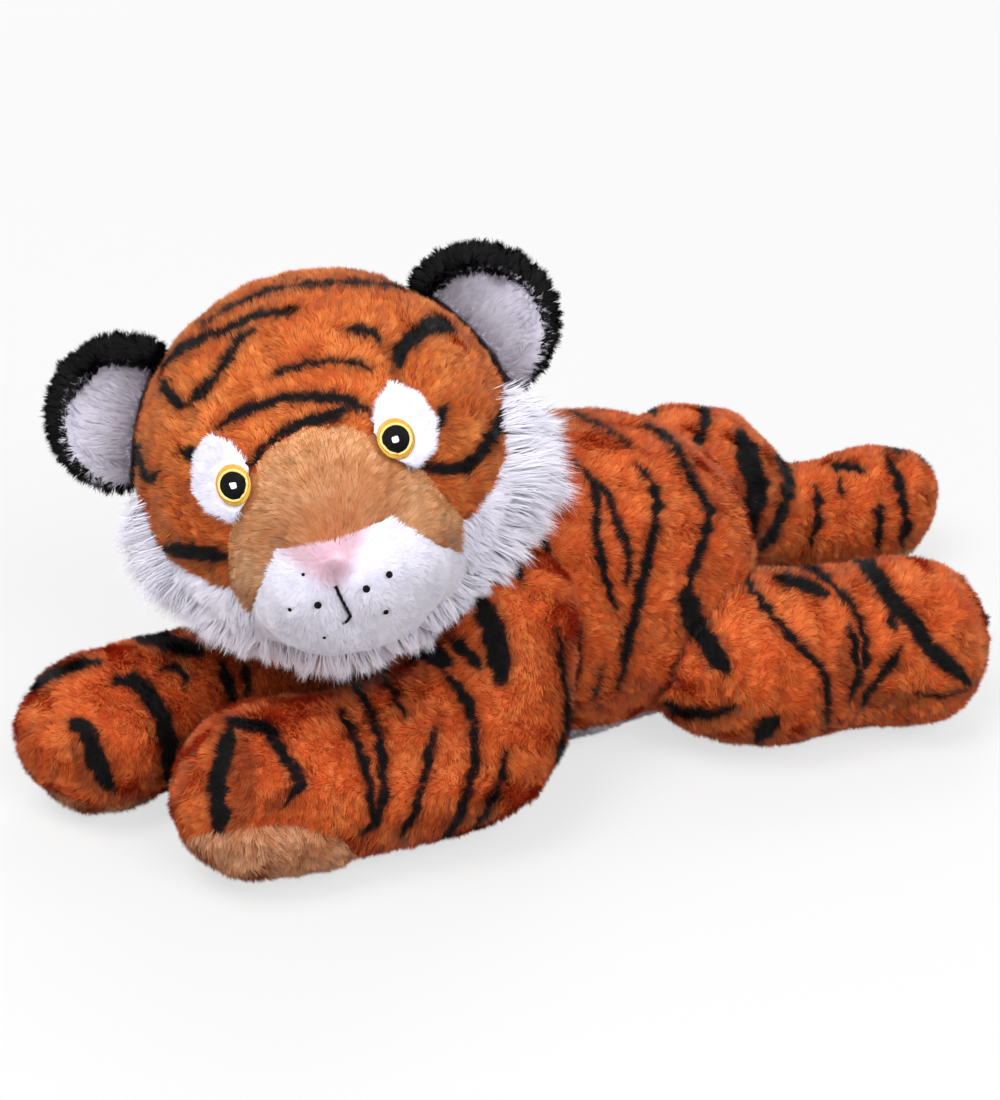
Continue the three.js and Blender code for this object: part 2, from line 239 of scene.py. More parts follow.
headFrame = {"centre": (0, -92, 110), "radius": 56.5, "turn": 62, "lift": 28, "tilt": 16}


def headTurned():
    turn = Matrix.Rotation(math.radians(headFrame["turn"]), 3, "Z")
    lift = Matrix.Rotation(math.radians(90 - headFrame["lift"]), 3, "X")
    tilt = Matrix.Rotation(math.radians(headFrame["tilt"]), 3, "Z")
    return np.array(turn @ lift @ tilt)


def toHead(points):
    return (points - np.array(headFrame["centre"])) @ headTurned()


def fromHead(points):
    return points @ headTurned().T + np.array(headFrame["centre"])


# Panels of the face, as shares of the head's radius, for its left half; the other is mirrored
facePanels = {
    "bridge": [
        (-0.01, -0.4), (0.27, -0.36), (0.42, -0.52), (0.52, -0.62), (0.6, -0.47), (0.5, -0.22),
        (0.34, 0), (0.2, 0.12), (-0.01, 0.17),
    ],
    "muzzle": [
        (-0.01, -0.98), (0.3, -0.95), (0.5, -0.8), (0.56, -0.66), (0.4, -0.5), (0.26, -0.34),
        (-0.01, -0.38),
    ],
    "cheek": [
        (-0.01, -1.4), (1.4, -1.4), (1.4, 0.02), (0.97, -0.12), (0.8, -0.33), (0.62, -0.46),
        (-0.01, -0.46),
    ],
    "patch": [
        (0.31, 0.06), (0.36, -0.08), (0.46, -0.17), (0.56, -0.1), (0.61, 0.03), (0.56, 0.18),
        (0.45, 0.27), (0.36, 0.19),
    ],
}
cheekBack = -0.3  # how far back the white panel goes, of the radius


def faceZone(points):
    # the name's place in this list: crown, bridge, muzzle, cheek
    local = toHead(points) / headFrame["radius"]
    x, y, z = np.abs(local[:, 0]), local[:, 1], local[:, 2]
    zone = np.zeros(len(points), int)
    zone[inside(x, y, facePanels["cheek"]) & (z > cheekBack)] = 3
    zone[inside(x, y, facePanels["muzzle"]) & (z > 0)] = 2
    zone[inside(x, y, facePanels["bridge"]) & (z > 0)] = 1
    return zone


def faceSeamGap(points):
    local = toHead(points) / headFrame["radius"]
    x, y, z = np.abs(local[:, 0]), local[:, 1], local[:, 2]
    gaps = [lineGap(x, y, facePanels[name][1:-1])[0] for name in ("bridge", "muzzle", "cheek")]
    crownSeam = np.where((z < 0.2) & (y > 0), x, 1)  # runs over the crown to the back
    return np.minimum(np.where(z > 0, np.min(gaps, axis=0), 1), crownSeam) * headFrame["radius"]


# Stripes: strokes as the camera sees them, in px: widest width, then the points of the stroke
stripes = {
    "head": [
        (6, [(199, 324), (232, 306), (265, 291), (288, 285), (332, 281), (365, 281), (411, 288)]),
        (9, [(162, 366), (179, 349), (206, 336), (232, 326), (259, 314), (298, 308)]),
        (10, [(255, 329), (239, 339), (225, 359), (216, 376), (199, 392), (186, 406)]),
        (10, [(161, 381), (171, 396), (182, 408)]),
        (9, [(347, 331), (361, 328), (375, 333), (381, 343)]),
        (15, [(454, 328), (431, 323), (414, 336), (401, 349), (398, 366)]),
        (7, [(270, 376), (288, 367), (308, 362), (332, 361), (351, 362), (371, 366)]),
        (10, [(217, 429), (232, 416), (252, 406), (279, 399), (308, 396), (335, 397), (351, 401),
              (371, 412)]),
        (12, [(351, 406), (332, 416), (298, 425), (285, 432), (272, 445), (255, 462), (247, 469)]),
        (13, [(182, 452), (204, 460)]),
        (8, [(133, 439), (139, 462), (146, 482)]),
        (7, [(146, 482), (159, 472)]),
        (14, [(166, 550), (186, 551), (212, 556), (225, 558)]),
        (9, [(447, 404), (441, 420), (432, 438)]),
        (12, [(506, 406), (497, 430), (486, 448), (468, 467), (441, 469), (420, 465)]),
    ],
    "torso": [
        (5, [(570, 411), (590, 420), (612, 430), (633, 446)]),
        (9, [(645, 423), (667, 437), (679, 450), (691, 475), (701, 493), (710, 509), (708, 527), (701, 551),
             (691, 576), (688, 600), (692, 616)]),
        (18, [(686, 590), (692, 618), (708, 643), (722, 670)]),
        (10, [(638, 464), (652, 481), (658, 502), (655, 527), (650, 551), (642, 582), (638, 606), (630, 637),
              (624, 665), (618, 689)]),
        (8, [(575, 461), (593, 481), (598, 502), (596, 527), (600, 551), (606, 582), (616, 610)]),
        (8, [(593, 481), (609, 495), (615, 515), (623, 533), (629, 551), (629, 570), (626, 588)]),
        (8, [(535, 527), (548, 548), (554, 576), (560, 606), (563, 643), (566, 674), (569, 704), (566, 741)]),
        (7, [(583, 625), (578, 646), (577, 668), (575, 686)]),
        (5, [(604, 665), (600, 683), (595, 701)]),
    ],
    "front_leg_left": [
        # under the chin this first stroke's black is partly a stripe and partly painted shade
        (18, [(398, 652), (424, 650), (450, 662)]),
        (12, [(452, 640), (470, 655), (480, 668)]),
        (21, [(478, 598), (490, 622), (498, 654), (502, 680)]),
        (8, [(514, 559), (522, 581)]),
        (9, [(345, 673), (359, 690), (371, 714), (380, 737), (383, 767), (383, 796), (377, 825), (362, 834)]),
        (9, [(339, 708), (351, 728), (362, 755), (368, 778), (371, 802), (374, 819)]),
        (6, [(383, 676), (395, 693), (406, 717)]),
        (9, [(436, 728), (430, 752), (424, 781), (415, 814), (401, 837)]),
        (10, [(442, 670), (459, 687), (471, 711), (475, 737), (475, 767), (468, 793), (459, 819),
              (447, 837)]),
        (7, [(506, 752), (503, 778), (491, 805), (477, 828)]),
        (6, [(559, 629), (562, 664), (568, 693), (568, 723), (562, 752), (553, 784)]),
        (12, [(227, 720), (248, 723), (268, 728), (280, 749), (295, 770), (301, 784), (286, 805)]),
        (18, [(230, 728), (222, 761), (216, 784), (219, 808), (219, 834)]),
    ],
    "front_leg_right": [
        (16, [(129, 631), (150, 636), (174, 644), (201, 650)]),
        (10, [(99, 660), (75, 666), (51, 674), (29, 690)]),
        (16, [(115, 680), (134, 679), (150, 695), (161, 714), (169, 741), (171, 767), (171, 784)]),
        (8, [(161, 667), (177, 667), (186, 676), (186, 684)]),
        (17, [(72, 722), (86, 730), (94, 754), (102, 775), (112, 792)]),
        (10, [(222, 663), (228, 682), (234, 700), (230, 711)]),
        (7, [(245, 663), (248, 684), (248, 698)]),
        (11, [(264, 545), (252, 582), (260, 618)]),  # the last four are on the shoulder, out of sight
        (10, [(318, 528), (308, 572), (312, 622)]),
        (9, [(352, 516), (344, 558), (354, 602)]),
        (8, [(394, 520), (386, 560), (398, 592)]),
    ],
    "hind_leg_left": [
        (4, [(649, 614), (659, 625), (670, 639)]),
        (18, [(686, 600), (694, 622), (710, 645), (726, 672)]),
        (8, [(737, 569), (751, 586), (765, 605), (785, 630), (804, 649), (821, 666), (828, 685), (828, 710),
             (826, 724)]),
        (12, [(775, 576), (794, 580), (811, 586), (826, 593)]),
        (8, [(756, 564), (790, 562), (814, 569), (833, 584), (850, 601), (860, 620), (865, 637), (867, 654),
             (865, 671), (853, 695)]),
        (8, [(850, 625), (855, 644), (857, 666), (855, 685), (850, 700)]),
        (15, [(845, 552), (862, 559), (877, 576), (889, 596), (911, 618), (928, 647), (954, 668),
              (969, 683)]),
        (5, [(966, 690), (950, 697), (930, 697), (912, 696)]),
        (9, [(889, 596), (893, 615), (894, 630)]),
        (9, [(901, 647), (894, 661), (882, 676), (867, 695), (860, 707)]),
        (10, [(664, 705), (688, 714), (712, 716), (734, 707)]),
        (16, [(775, 719), (765, 731), (756, 739)]),
    ],
    "hind_leg_right": [
        (10, [(703, 405), (706, 419), (701, 435), (694, 451)]),
        (8, [(646, 401), (655, 414)]),
        (20, [(740, 433), (747, 449), (751, 467), (758, 483), (756, 502), (747, 518), (747, 550)]),
        (11, [(777, 456), (786, 472), (789, 488), (784, 509), (777, 527), (768, 541), (751, 552)]),
        (8, [(816, 486), (819, 502), (818, 522), (811, 545)]),
        (7, [(839, 479), (842, 495)]),
        (8, [(832, 465), (848, 467), (864, 469)]),
        (9, [(887, 458), (896, 472), (901, 490), (905, 509), (908, 527), (901, 545)]),
        (9, [(879, 504), (881, 522), (878, 548)]),
        (9, [(885, 442), (905, 449)]),
        (7, [(921, 452), (931, 463)]),
    ],
}


# Brown smudges beside and between the stripes, laid out in the same way, and painted shade in the hind foot's
# ankle fold
smudgesAndShade = {
    "head": [
        (9, [(388, 340), (394, 362), (400, 392)]),
        (8, [(442, 398), (440, 424)]),
        (10, [(428, 458), (452, 470), (472, 462)]),
        (7, [(404, 352), (424, 346)]),
        (8, [(262, 448), (244, 470)]),
        (8, [(190, 560), (216, 572)]),
    ],
    "torso": [
        (26, [(688, 600), (700, 634), (720, 664)]),
    ],
    "front_leg_left": [
        (40, [(236, 744), (230, 790), (234, 826)]),
        (16, [(300, 788), (266, 812)]),
        (30, [(490, 625), (503, 672)]),
    ],
    "front_leg_right": [
        (32, [(82, 732), (102, 790)]),
        (24, [(150, 636), (190, 654)]),
        (20, [(166, 720), (172, 790)]),
    ],
    "hind_leg_left": [
        (26, [(652, 632), (676, 662)]),
        # painted shade in the crease of the ankle's fold
        (16, [(850, 690), (884, 702), (930, 699)]),
        (28, [(694, 622), (722, 668)]),
        (20, [(846, 640), (850, 690)]),
    ],
    "hind_leg_right": [
        (26, [(748, 470), (752, 520), (744, 546)]),
    ],
}
airbrush = {
    "wider": 1.25,  # the pile's lean hides a little of each stroke's width
    "soft": 2.6,  # px
    "halo": 9,  # px
    "haloShare": 0.36,
    "jitter": 1.5,  # px, in bumps this many mm apart
    "jitterSize": 5,
    "ends": ([0, 0.15, 0.85, 1], [0.5, 1, 1, 0.5]),  # shares of a stroke's length, and of its width there
    "smudgeAndShadeShare": 0.5,
    "smudgeAndShadeSoft": 5,  # px
    "runOut": (-0.4, -0.05),  # how far a face turns from the camera where strokes run out
    "beginAgain": (-0.3, -0.55),  # and where others begin
    "moved": (26, 17),  # px between them
}


def strokesAt(points, full, strokes, soft, shift=(0, 0)):
    # 1 inside a stroke and 0 off it; where full is under 1 the strokes narrow to points
    x, y = seenAt(points)
    x = x + airbrush["jitter"] * ripple(points, airbrush["jitterSize"], 41) + shift[0]
    y = y + airbrush["jitter"] * ripple(points, airbrush["jitterSize"], 42) + shift[1]
    mark = np.zeros(len(points))
    for widest, line in strokes:
        gap, along = lineGap(x, y, line)
        half = widest / 2 * airbrush["wider"] * np.interp(along, *airbrush["ends"])
        off = gap - half * full + 2 * airbrush["halo"] * (1 - full)
        halo = airbrush["haloShare"] * ease(airbrush["halo"], 0, off)
        mark = np.maximum(mark, np.maximum(ease(soft, -soft, off), halo))
    return mark


def stripeAt(points, outward, strokes, soft, mirrored):
    # past the edge that the camera sees the strokes run out, and farther round others like them begin
    back = cameraAxes()[0]
    toCamera = unit(np.array(camera["aim"]) + back * camera["distance"] - points)
    facing = np.sum(outward * toCamera, axis=1)
    front = strokesAt(points, ease(*airbrush["runOut"], facing), strokes, soft)
    full = ease(*airbrush["beginAgain"], facing)
    if mirrored:
        behind = strokesAt(points * np.array([-1, 1, 1]), full, strokes, soft)
    else:
        behind = strokesAt(points, full, strokes, soft, airbrush["moved"])
    return np.maximum(front, behind)


def furMarks(body, points, outward):
    # a body's stripes and, fainter, the brown smudges between them and the painted shade of a fold
    mirrored = body == "torso"
    smudgedAndShaded = stripeAt(points, outward, smudgesAndShade[body], airbrush["smudgeAndShadeSoft"], mirrored)
    striped = stripeAt(points, outward, stripes[body], airbrush["soft"], mirrored)
    return np.maximum(striped, airbrush["smudgeAndShadeShare"] * smudgedAndShaded)


tailMarks = {
    "rate": 0.42,
    "edge": (0.35, 0.6),
    "waver": 30,  # mm
    "blackFrom": 118,  # mm, back from the origin
    "blackBy": 124,
}


def tailBands(points, outward):
    # bands round the tail and a black end
    back = points[:, 1]
    bands = np.sin(back * tailMarks["rate"] + ripple(points, tailMarks["waver"], 5))
    return ease(*tailMarks["edge"], bands) + ease(tailMarks["blackFrom"], tailMarks["blackBy"], back)


# Materials


def linear(code):
    # an sRGB hex colour as the linear colour that a shader takes
    parts = [int(code[i:i + 2], 16) / 255 for i in (1, 3, 5)]
    return [p / 12.92 if p <= 0.04045 else ((p + 0.055) / 1.055) ** 2.4 for p in parts] + [1]


def addNode(tree, kind, values=None, links=None, stops=None, **settings):
    # one node with its settings, socket values and links; stops are a colour ramp's
    node = tree.nodes.new(kind)
    for key, value in settings.items():
        setattr(node, key, value)
    for socket, value in (values or {}).items():
        node.inputs[socket].default_value = value
    for socket, source in (links or {}).items():
        tree.links.new(source, node.inputs[socket])
    for i, (place, code) in enumerate(stops or []):
        marks = node.color_ramp.elements
        mark = marks[i] if i < 2 else marks.new(place)
        mark.position = place
        mark.color = linear(code)
    return node


def newMaterial(name):
    material = bpy.data.materials.new(name)
    material.use_nodes = True
    material.node_tree.nodes.clear()
    return material, material.node_tree


def pilePlush(name, look):
    # pile fibres, with painted light and shade: each tuft's colour, set at random and in noise patches, runs
    # from a painted shaded tone to a painted lit tone, and is darker at the root as painted shade deep in the
    # pile
    material, tree = newMaterial(name)
    rise = addNode(tree, "ShaderNodeAttribute", attribute_name="rise")
    tuftLightShade = addNode(tree, "ShaderNodeAttribute", attribute_name="tuftLightShade")
    mark = addNode(tree, "ShaderNodeAttribute", attribute_name="mark")
    place = addNode(tree, "ShaderNodeTexCoord")
    patches = addNode(
        tree, "ShaderNodeTexNoise", {"Scale": 1 / (look["patch"] * mm), "Detail": 2},
        {"Vector": place.outputs["Object"]},
    )
    both = addNode(
        tree, "ShaderNodeMath", {1: 0.62}, {0: tuftLightShade.outputs["Fac"], 2: patches.outputs["Fac"]},
        operation="MULTIPLY_ADD",
    )
    shifted = addNode(tree, "ShaderNodeMath", {1: 0.3}, {0: both.outputs[0]}, operation="SUBTRACT")
    colours = addNode(
        tree, "ShaderNodeValToRGB", None, {"Fac": shifted.outputs[0]},
        stops=[(0.1, look["deep"]), (0.85, look["lit"]), (0.45, look["mid"])],
    )
    # painted shade: the pile's colour darkens toward its root, where shade falls among the blades
    upShare = addNode(
        tree, "ShaderNodeMapRange",
        {"From Min": 0, "From Max": 0.8, "To Min": look["rootShare"], "To Max": 1},
        {"Value": rise.outputs["Fac"]},
    )
    rootShaded = addNode(
        tree, "ShaderNodeMix", {6: linear(look["root"])},
        {0: upShare.outputs[0], 7: colours.outputs["Color"]}, data_type="RGBA",
    )
    marked = addNode(
        tree, "ShaderNodeMix", {7: linear(look["markColour"])},
        {0: mark.outputs["Fac"], 6: rootShaded.outputs[2]}, data_type="RGBA",
    )
    shader = addNode(
        tree, "ShaderNodeBsdfPrincipled",
        {"Roughness": 0.7, "Specular IOR Level": 0.12, "Sheen Weight": look["sheen"],
         "Sheen Roughness": 0.45},
        {"Base Color": marked.outputs[2]},
    )
    addNode(tree, "ShaderNodeOutputMaterial", None, {"Surface": shader.outputs[0]})
    return material


def backingKnit(name, look):
    # knitted backing cloth, seen only as the dark ground between tufts, painted dark from the root colour to
    # the shaded tone as shade in the pile
    material, tree = newMaterial(name)
    place = addNode(tree, "ShaderNodeTexCoord")
    mark = addNode(tree, "ShaderNodeAttribute", attribute_name="mark")
    loops = addNode(
        tree, "ShaderNodeTexNoise", {"Scale": 1 / (1.2 * mm), "Detail": 3},
        {"Vector": place.outputs["Object"]},
    )
    shadedGround = addNode(
        tree, "ShaderNodeValToRGB", None, {"Fac": loops.outputs["Fac"]},
        stops=[(0.3, look["root"]), (0.7, look["deep"])],
    )
    marked = addNode(
        tree, "ShaderNodeMix", {7: linear(look["markColour"])},
        {0: mark.outputs["Fac"], 6: shadedGround.outputs["Color"]}, data_type="RGBA",
    )
    bump = addNode(
        tree, "ShaderNodeBump", {"Strength": 0.5, "Distance": 0.4 * mm}, {"Height": loops.outputs["Fac"]},
    )
    shader = addNode(
        tree, "ShaderNodeBsdfPrincipled", {"Roughness": 0.85, "Specular IOR Level": 0.15},
        {"Base Color": marked.outputs[2], "Normal": bump.outputs[0]},
    )
    addNode(tree, "ShaderNodeOutputMaterial", None, {"Surface": shader.outputs[0]})
    return material


def satinThread(name, codeShaded, codeLit, threadWidth=0.45, shine=0.3):
    # embroidery thread laid side by side: smooth bright ridges with fine dark lines between, painted light on
    # the ridges and painted shade between them, beside the bump
    # its map is in mm, and a wave texture repeats every 0.314 / Scale of them
    material, tree = newMaterial(name)
    stitch = addNode(tree, "ShaderNodeUVMap", uv_map="stitch")
    ridges = addNode(
        tree, "ShaderNodeTexWave", {"Scale": 0.314 / threadWidth, "Distortion": 0.4, "Detail": 1},
        {"Vector": stitch.outputs[0]}, wave_type="BANDS", bands_direction="X", wave_profile="SIN",
    )
    blotches = addNode(tree, "ShaderNodeTexNoise", {"Scale": 0.5, "Detail": 3}, {"Vector": stitch.outputs[0]})
    both = addNode(
        tree, "ShaderNodeMath", {1: 0.5}, {0: ridges.outputs["Fac"], 2: blotches.outputs["Fac"]},
        operation="MULTIPLY_ADD",
    )
    colours = addNode(
        tree, "ShaderNodeValToRGB", None, {"Fac": both.outputs[0]}, stops=[(0.35, codeShaded), (0.95, codeLit)],
    )
    bump = addNode(
        tree, "ShaderNodeBump", {"Strength": 0.6, "Distance": 0.15 * mm}, {"Height": ridges.outputs["Fac"]},
    )
    shader = addNode(
        tree, "ShaderNodeBsdfPrincipled",
        {"Roughness": 0.45, "Specular IOR Level": shine},
        {"Base Color": colours.outputs["Color"], "Normal": bump.outputs[0]},
    )
    addNode(tree, "ShaderNodeOutputMaterial", None, {"Surface": shader.outputs[0]})
    return material


# What each plush looks like: colours from painted shade to painted light, a root colour painted as shade in
# the pile, and how much of the tufts' own colour shows at the root
plushLooks = {
    # the head's orange plush, painted paler and yellower than the body's as painted sheen on the crown
    "orange": {
        "deep": "#BA5022", "mid": "#D4692E", "lit": "#EA8E4A", "root": "#8E3E1A", "rootShare": 0.45,
        "markColour": "#0E0C0D", "patch": 16, "sheen": 0.04,
    },
    # the same orange plush on the body, legs and tail, painted redder as shade in its pile
    "shadedOrange": {
        "deep": "#C24A1C", "mid": "#DA602B", "lit": "#F08546", "root": "#8E3614", "rootShare": 0.45,
        "markColour": "#0E0C0D", "patch": 16, "sheen": 0.04,
    },
    "tan": {
        "deep": "#C08050", "mid": "#DCA070", "lit": "#F6C698", "root": "#A0643A", "rootShare": 0.55,
        "markColour": "#A8582C", "patch": 14, "sheen": 0.06,
    },
    "sole": {
        "deep": "#BC7048", "mid": "#DC966A", "lit": "#F4B890", "root": "#8C4C2A", "rootShare": 0.5,
        "markColour": "#3A2018", "patch": 14, "sheen": 0.05,
    },
    "white": {
        "deep": "#DEDCEC", "mid": "#E8E6F4", "lit": "#F2F0FB", "root": "#D8D5E4", "rootShare": 0.85,
        "markColour": "#C88494", "patch": 18, "sheen": 0.05,
    },
    # the white plush again, painted greyer as shade inside the ear's cup; its mark colour is the painted
    # shade that cupShade lays toward the head
    "lining": {
        "deep": "#CCC8D8", "mid": "#DCD8E8", "lit": "#ECE9F6", "root": "#BEB9CA", "rootShare": 0.75,
        "markColour": "#6E646E", "patch": 18, "sheen": 0.05,
    },
    "black": {
        "deep": "#070607", "mid": "#0C0B0C", "lit": "#181617", "root": "#050405", "rootShare": 0.5,
        "markColour": "#0A090A", "patch": 14, "sheen": 0.0,
    },
}
pileFinish = {kind: pilePlush(kind + "PilePlush", look) for kind, look in plushLooks.items()}
clothFinish = {kind: backingKnit(kind + "BackingKnit", look) for kind, look in plushLooks.items()}
say("materials are made")

# Stuffed skins: a copy of each filling, remeshed, blown up a little against its seams

stuffing = {
    "voxel": 4.5,  # mm
    "swell": 1.4,  # mm, from the filling to the backing cloth
    "pressure": 4,
    "frames": 20,
    "cap": 1.1,  # mm that the pressure may add
    "seamWidth": 4.5,  # mm on each side that the seam holds back
    "lumps": 0.45,  # mm high
    "lumpSize": 24,
    "groove": 0.9,  # mm that a seam is sunk, and how wide
    "grooveWidth": 2.2,
    "floorGap": 0.3,
}


def blowUp(skin, seamGap):
    held = skin.vertex_groups.new(name="seam")
    for i, gap in enumerate(seamGap):
        held.add([i], float(math.exp(-((gap / stuffing["seamWidth"]) ** 2))), "REPLACE")
    makeActive(skin)
    cloth = skin.modifiers.new("Cloth", "CLOTH")
    cloth.settings.quality = 4
    cloth.settings.use_pressure = True
    cloth.settings.uniform_pressure_force = stuffing["pressure"]
    cloth.settings.effector_weights.gravity = 0
    cloth.settings.vertex_group_mass = "seam"
    cloth.point_cache.frame_end = stuffing["frames"]
    for number in range(1, stuffing["frames"] + 1):
        scene.frame_set(number)
    bpy.ops.object.modifier_apply(modifier=cloth.name)
    scene.frame_set(1)
    skin.vertex_groups.clear()


def fuller(points, bulges):
    # stuffing bulges: each has its middle and reach in mm and how far it pushes the cloth out
    for middle, reach, push in bulges:
        share = np.exp(-((np.linalg.norm(points - np.array(middle), axis=1) / reach * 1.5) ** 2))
        points = points + share[:, None] * np.array(push)
    return points


def stuffedSkin(name, node, body, seamGapAt, bulges=()):
    skin = copyNodes(name, [node])
    applyModifier(skin, "REMESH", mode="VOXEL", voxel_size=stuffing["voxel"] * mm, use_smooth_shade=True)
    setPlaces(skin, placesOf(skin) + normalsOf(skin) * stuffing["swell"])
    start = placesOf(skin)
    blowUp(skin, seamGapAt(start))
    moved = placesOf(skin) - start
    size = np.linalg.norm(moved, axis=1, keepdims=True)
    points = start + moved * np.minimum(1, stuffing["cap"] / np.maximum(size, 1e-6))
    setPlaces(skin, points)
    applyModifier(skin, "SUBSURF", levels=1, render_levels=1)
    points, normals = placesOf(skin), normalsOf(skin)
    points = points + normals * (stuffing["lumps"] * ripple(points, stuffing["lumpSize"], len(name)))[:, None]
    groove = np.exp(-((seamGapAt(points) / stuffing["grooveWidth"]) ** 2))
    points = fuller(points - normals * groove[:, None] * stuffing["groove"], bulges)
    points[:, 2] = np.maximum(points[:, 2], stuffing["floorGap"])
    setPlaces(skin, points)
    skin.data.shade_smooth()
    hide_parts(node)
    skin["body"] = body
    return skin


def keepNumbers(item, name, numbers):
    kept = item.data.attributes.new(name, "FLOAT", "POINT")
    kept.data.foreach_set("value", numbers.astype(np.float32))


def faceMiddles(item):
    found = np.empty(len(item.data.polygons) * 3, np.float32)
    item.data.polygons.foreach_get("center", found)
    return found.reshape(-1, 3).astype(float) / mm


def dressFaces(item, kinds, numbers):
    for kind in kinds:
        item.data.materials.append(clothFinish[kind])
    item.data.polygons.foreach_set("material_index", numbers.astype(np.int32))


# Pile: thousands of thin blades, gathered in tufts, on a skin's surface

blade = {
    "quickShare": 0.45,
    "lengths": (0.7, 1.15),  # shares of the pile's length
    "tuftLengths": (0.88, 0.24),  # the shortest tuft's share, and what the longest adds
    "widths": (0.7, 1.2),
    "leans": (0.6, 1.3),  # shares of the lean below and above the elbow
    "gathers": (0.35, 0.65),  # shares of the gather at the elbow and the tip
    "twist": 0.9,  # radians
    "depth": 0.35,  # mm that its foot is in the cloth
    "elbowWidth": 0.8,
    "elbowRise": 0.55,
    "floorGap": 0.15,
    "swirlSize": 13,  # mm between places where the pile lies another way
    "leanSize": 7,
    "shadeSize": 3.1,
}


def scatter(item, perSquareMm, seed):
    mesh = item.data
    mesh.calc_loop_triangles()
    corners = np.empty(len(mesh.loop_triangles) * 3, np.int32)
    mesh.loop_triangles.foreach_get("vertices", corners)
    corners = corners.reshape(-1, 3)
    points, normals = placesOf(item), normalsOf(item)
    a, b, c = (points[corners[:, i]] for i in range(3))
    area = np.linalg.norm(np.cross(b - a, c - a), axis=1) / 2
    count = int(area.sum() * perSquareMm)
    chance = np.random.default_rng(seed)
    reach = np.cumsum(area) / area.sum()
    pick = np.searchsorted(reach, (np.arange(count) + chance.random(count)) / count)
    pick = np.minimum(pick, len(area) - 1)
    s, t = np.sqrt(chance.random(count)), chance.random(count)
    shares = np.column_stack([1 - s, s * (1 - t), s * t])
    roots = sum(points[corners[pick, i]] * shares[:, i:i + 1] for i in range(3))
    outward = unit(sum(normals[corners[pick, i]] * shares[:, i:i + 1] for i in range(3)))
    return roots, outward


def tuftOf(points, size):
    # the middle of the nearest tuft to each point, and a number from 0 to 1 that each tuft has
    cell = np.floor(points / size)
    best = np.full(len(points), 1e9)
    middle, number = np.zeros_like(points), np.zeros(len(points))
    for step in np.ndindex(3, 3, 3):
        other = cell + np.array(step) - 1
        keys = [np.modf(np.abs(np.sin(other @ np.array(k)) * 43758.5453))[0] for k in (
            (12.9898, 78.233, 37.719), (39.346, 11.135, 83.155), (73.156, 52.235, 9.151))]
        here = (other + np.column_stack(keys)) * size
        gap = np.linalg.norm(here - points, axis=1)
        nearer = gap < best
        best = np.where(nearer, gap, best)
        middle = np.where(nearer[:, None], here, middle)
        number = np.where(nearer, np.modf((keys[0] + keys[1] * 7.3))[0], number)
    return middle, number


def growPile(name, skin, kind, settings, keep, comb, mark=None, lengths=None):
    # settings: blades per square mm, length and width in mm, lean and swirl in degrees, tuft in mm,
    # gather to the tuft's middle, bent or straight, relief and lift of the shading, seed
    share = 1
    roots, outward = scatter(skin, settings["perSquareMm"] * share, settings["seed"])
    kept = keep(roots, outward)
    roots, outward = roots[kept], outward[kept]
    count = len(roots)
    chance = np.random.default_rng(settings["seed"] + 1)
    way = comb(roots, outward)
    way = unit(way - outward * np.sum(way * outward, axis=1, keepdims=True))
    turn = ripple(roots, blade["swirlSize"], settings["seed"] + 2) + chance.normal(0, 0.3, count)
    turn = np.radians(settings["swirl"]) * turn
    across = np.cross(outward, way)
    way = way * np.cos(turn)[:, None] + across * np.sin(turn)[:, None]
    middle, number = tuftOf(roots, settings["tuft"])
    length = settings["length"] * chance.uniform(*blade["lengths"], count)
    length = length * (blade["tuftLengths"][0] + blade["tuftLengths"][1] * number)
    if lengths is not None:
        length = length * lengths(roots)
    lean = np.radians(settings["lean"]) * (1 + 0.2 * ripple(roots, blade["leanSize"], settings["seed"] + 3))
    lean = lean + np.radians(8) * chance.normal(0, 1, count)
    flat = middle - roots
    flat = flat - outward * np.sum(flat * outward, axis=1, keepdims=True)
    half = length[:, None] / 2
    low, high = ((lean * part)[:, None] for part in blade["leans"])
    lowPull, highPull = (flat * settings["gather"] * part for part in blade["gathers"])
    elbow = roots + half * (outward * np.cos(low) + way * np.sin(low)) + lowPull
    tip = elbow + half * (outward * np.cos(high) + way * np.sin(high)) + highPull
    twist = chance.uniform(-blade["twist"], blade["twist"], count)[:, None]
    side = unit(np.cross(way, outward) * np.cos(twist) + way * np.sin(twist))
    wide = settings["width"] * chance.uniform(*blade["widths"], count)[:, None] / share ** 0.5 / 2
    foot = roots - outward * blade["depth"]
    if settings["bent"]:
        elbowSide = side * wide * blade["elbowWidth"]
        rows = [foot - side * wide, foot + side * wide, elbow + elbowSide, elbow - elbowSide, tip]
        rise = [0, 0, blade["elbowRise"], blade["elbowRise"], 1]
    else:
        rows = [foot - side * wide, foot + side * wide, tip]
        rise = [0, 0, 1]
    blades = np.stack(rows, 1)
    blades[:, :, 2] = np.maximum(blades[:, :, 2], blade["floorGap"])
    tuftTurn = np.column_stack([ripple(middle, blade["shadeSize"], seed) for seed in (61, 62, 63)])
    shade = tuftTurn + (tip - elbow) / half + 0.4 * chance.normal(0, 1, (count, 3))
    shade = outward + settings["relief"] * shade
    shade = shade + np.array(settings["lift"])  # pale pile lets light through, so its shading is even
    pile = meshOfBlades(name, blades)
    corners = len(rise)
    # rise carries the painted shade toward the root, and the next number each tuft's painted light and shade,
    # set at random
    keepNumbers(pile, "rise", np.tile(rise, count))
    keepNumbers(pile, "tuftLightShade", np.repeat(0.6 * number + 0.4 * chance.random(count), corners))
    marks = np.zeros(count) if mark is None else mark(roots * 0.25 + elbow * 0.25 + tip * 0.5, outward)
    keepNumbers(pile, "mark", np.repeat(np.clip(marks, 0, 1), corners))
    normals = np.repeat(unit(shade), corners, axis=0).astype(np.float32)
    pile.data.normals_split_custom_set_from_vertices(normals)
    pile.data.materials.append(pileFinish[kind])
    return pile


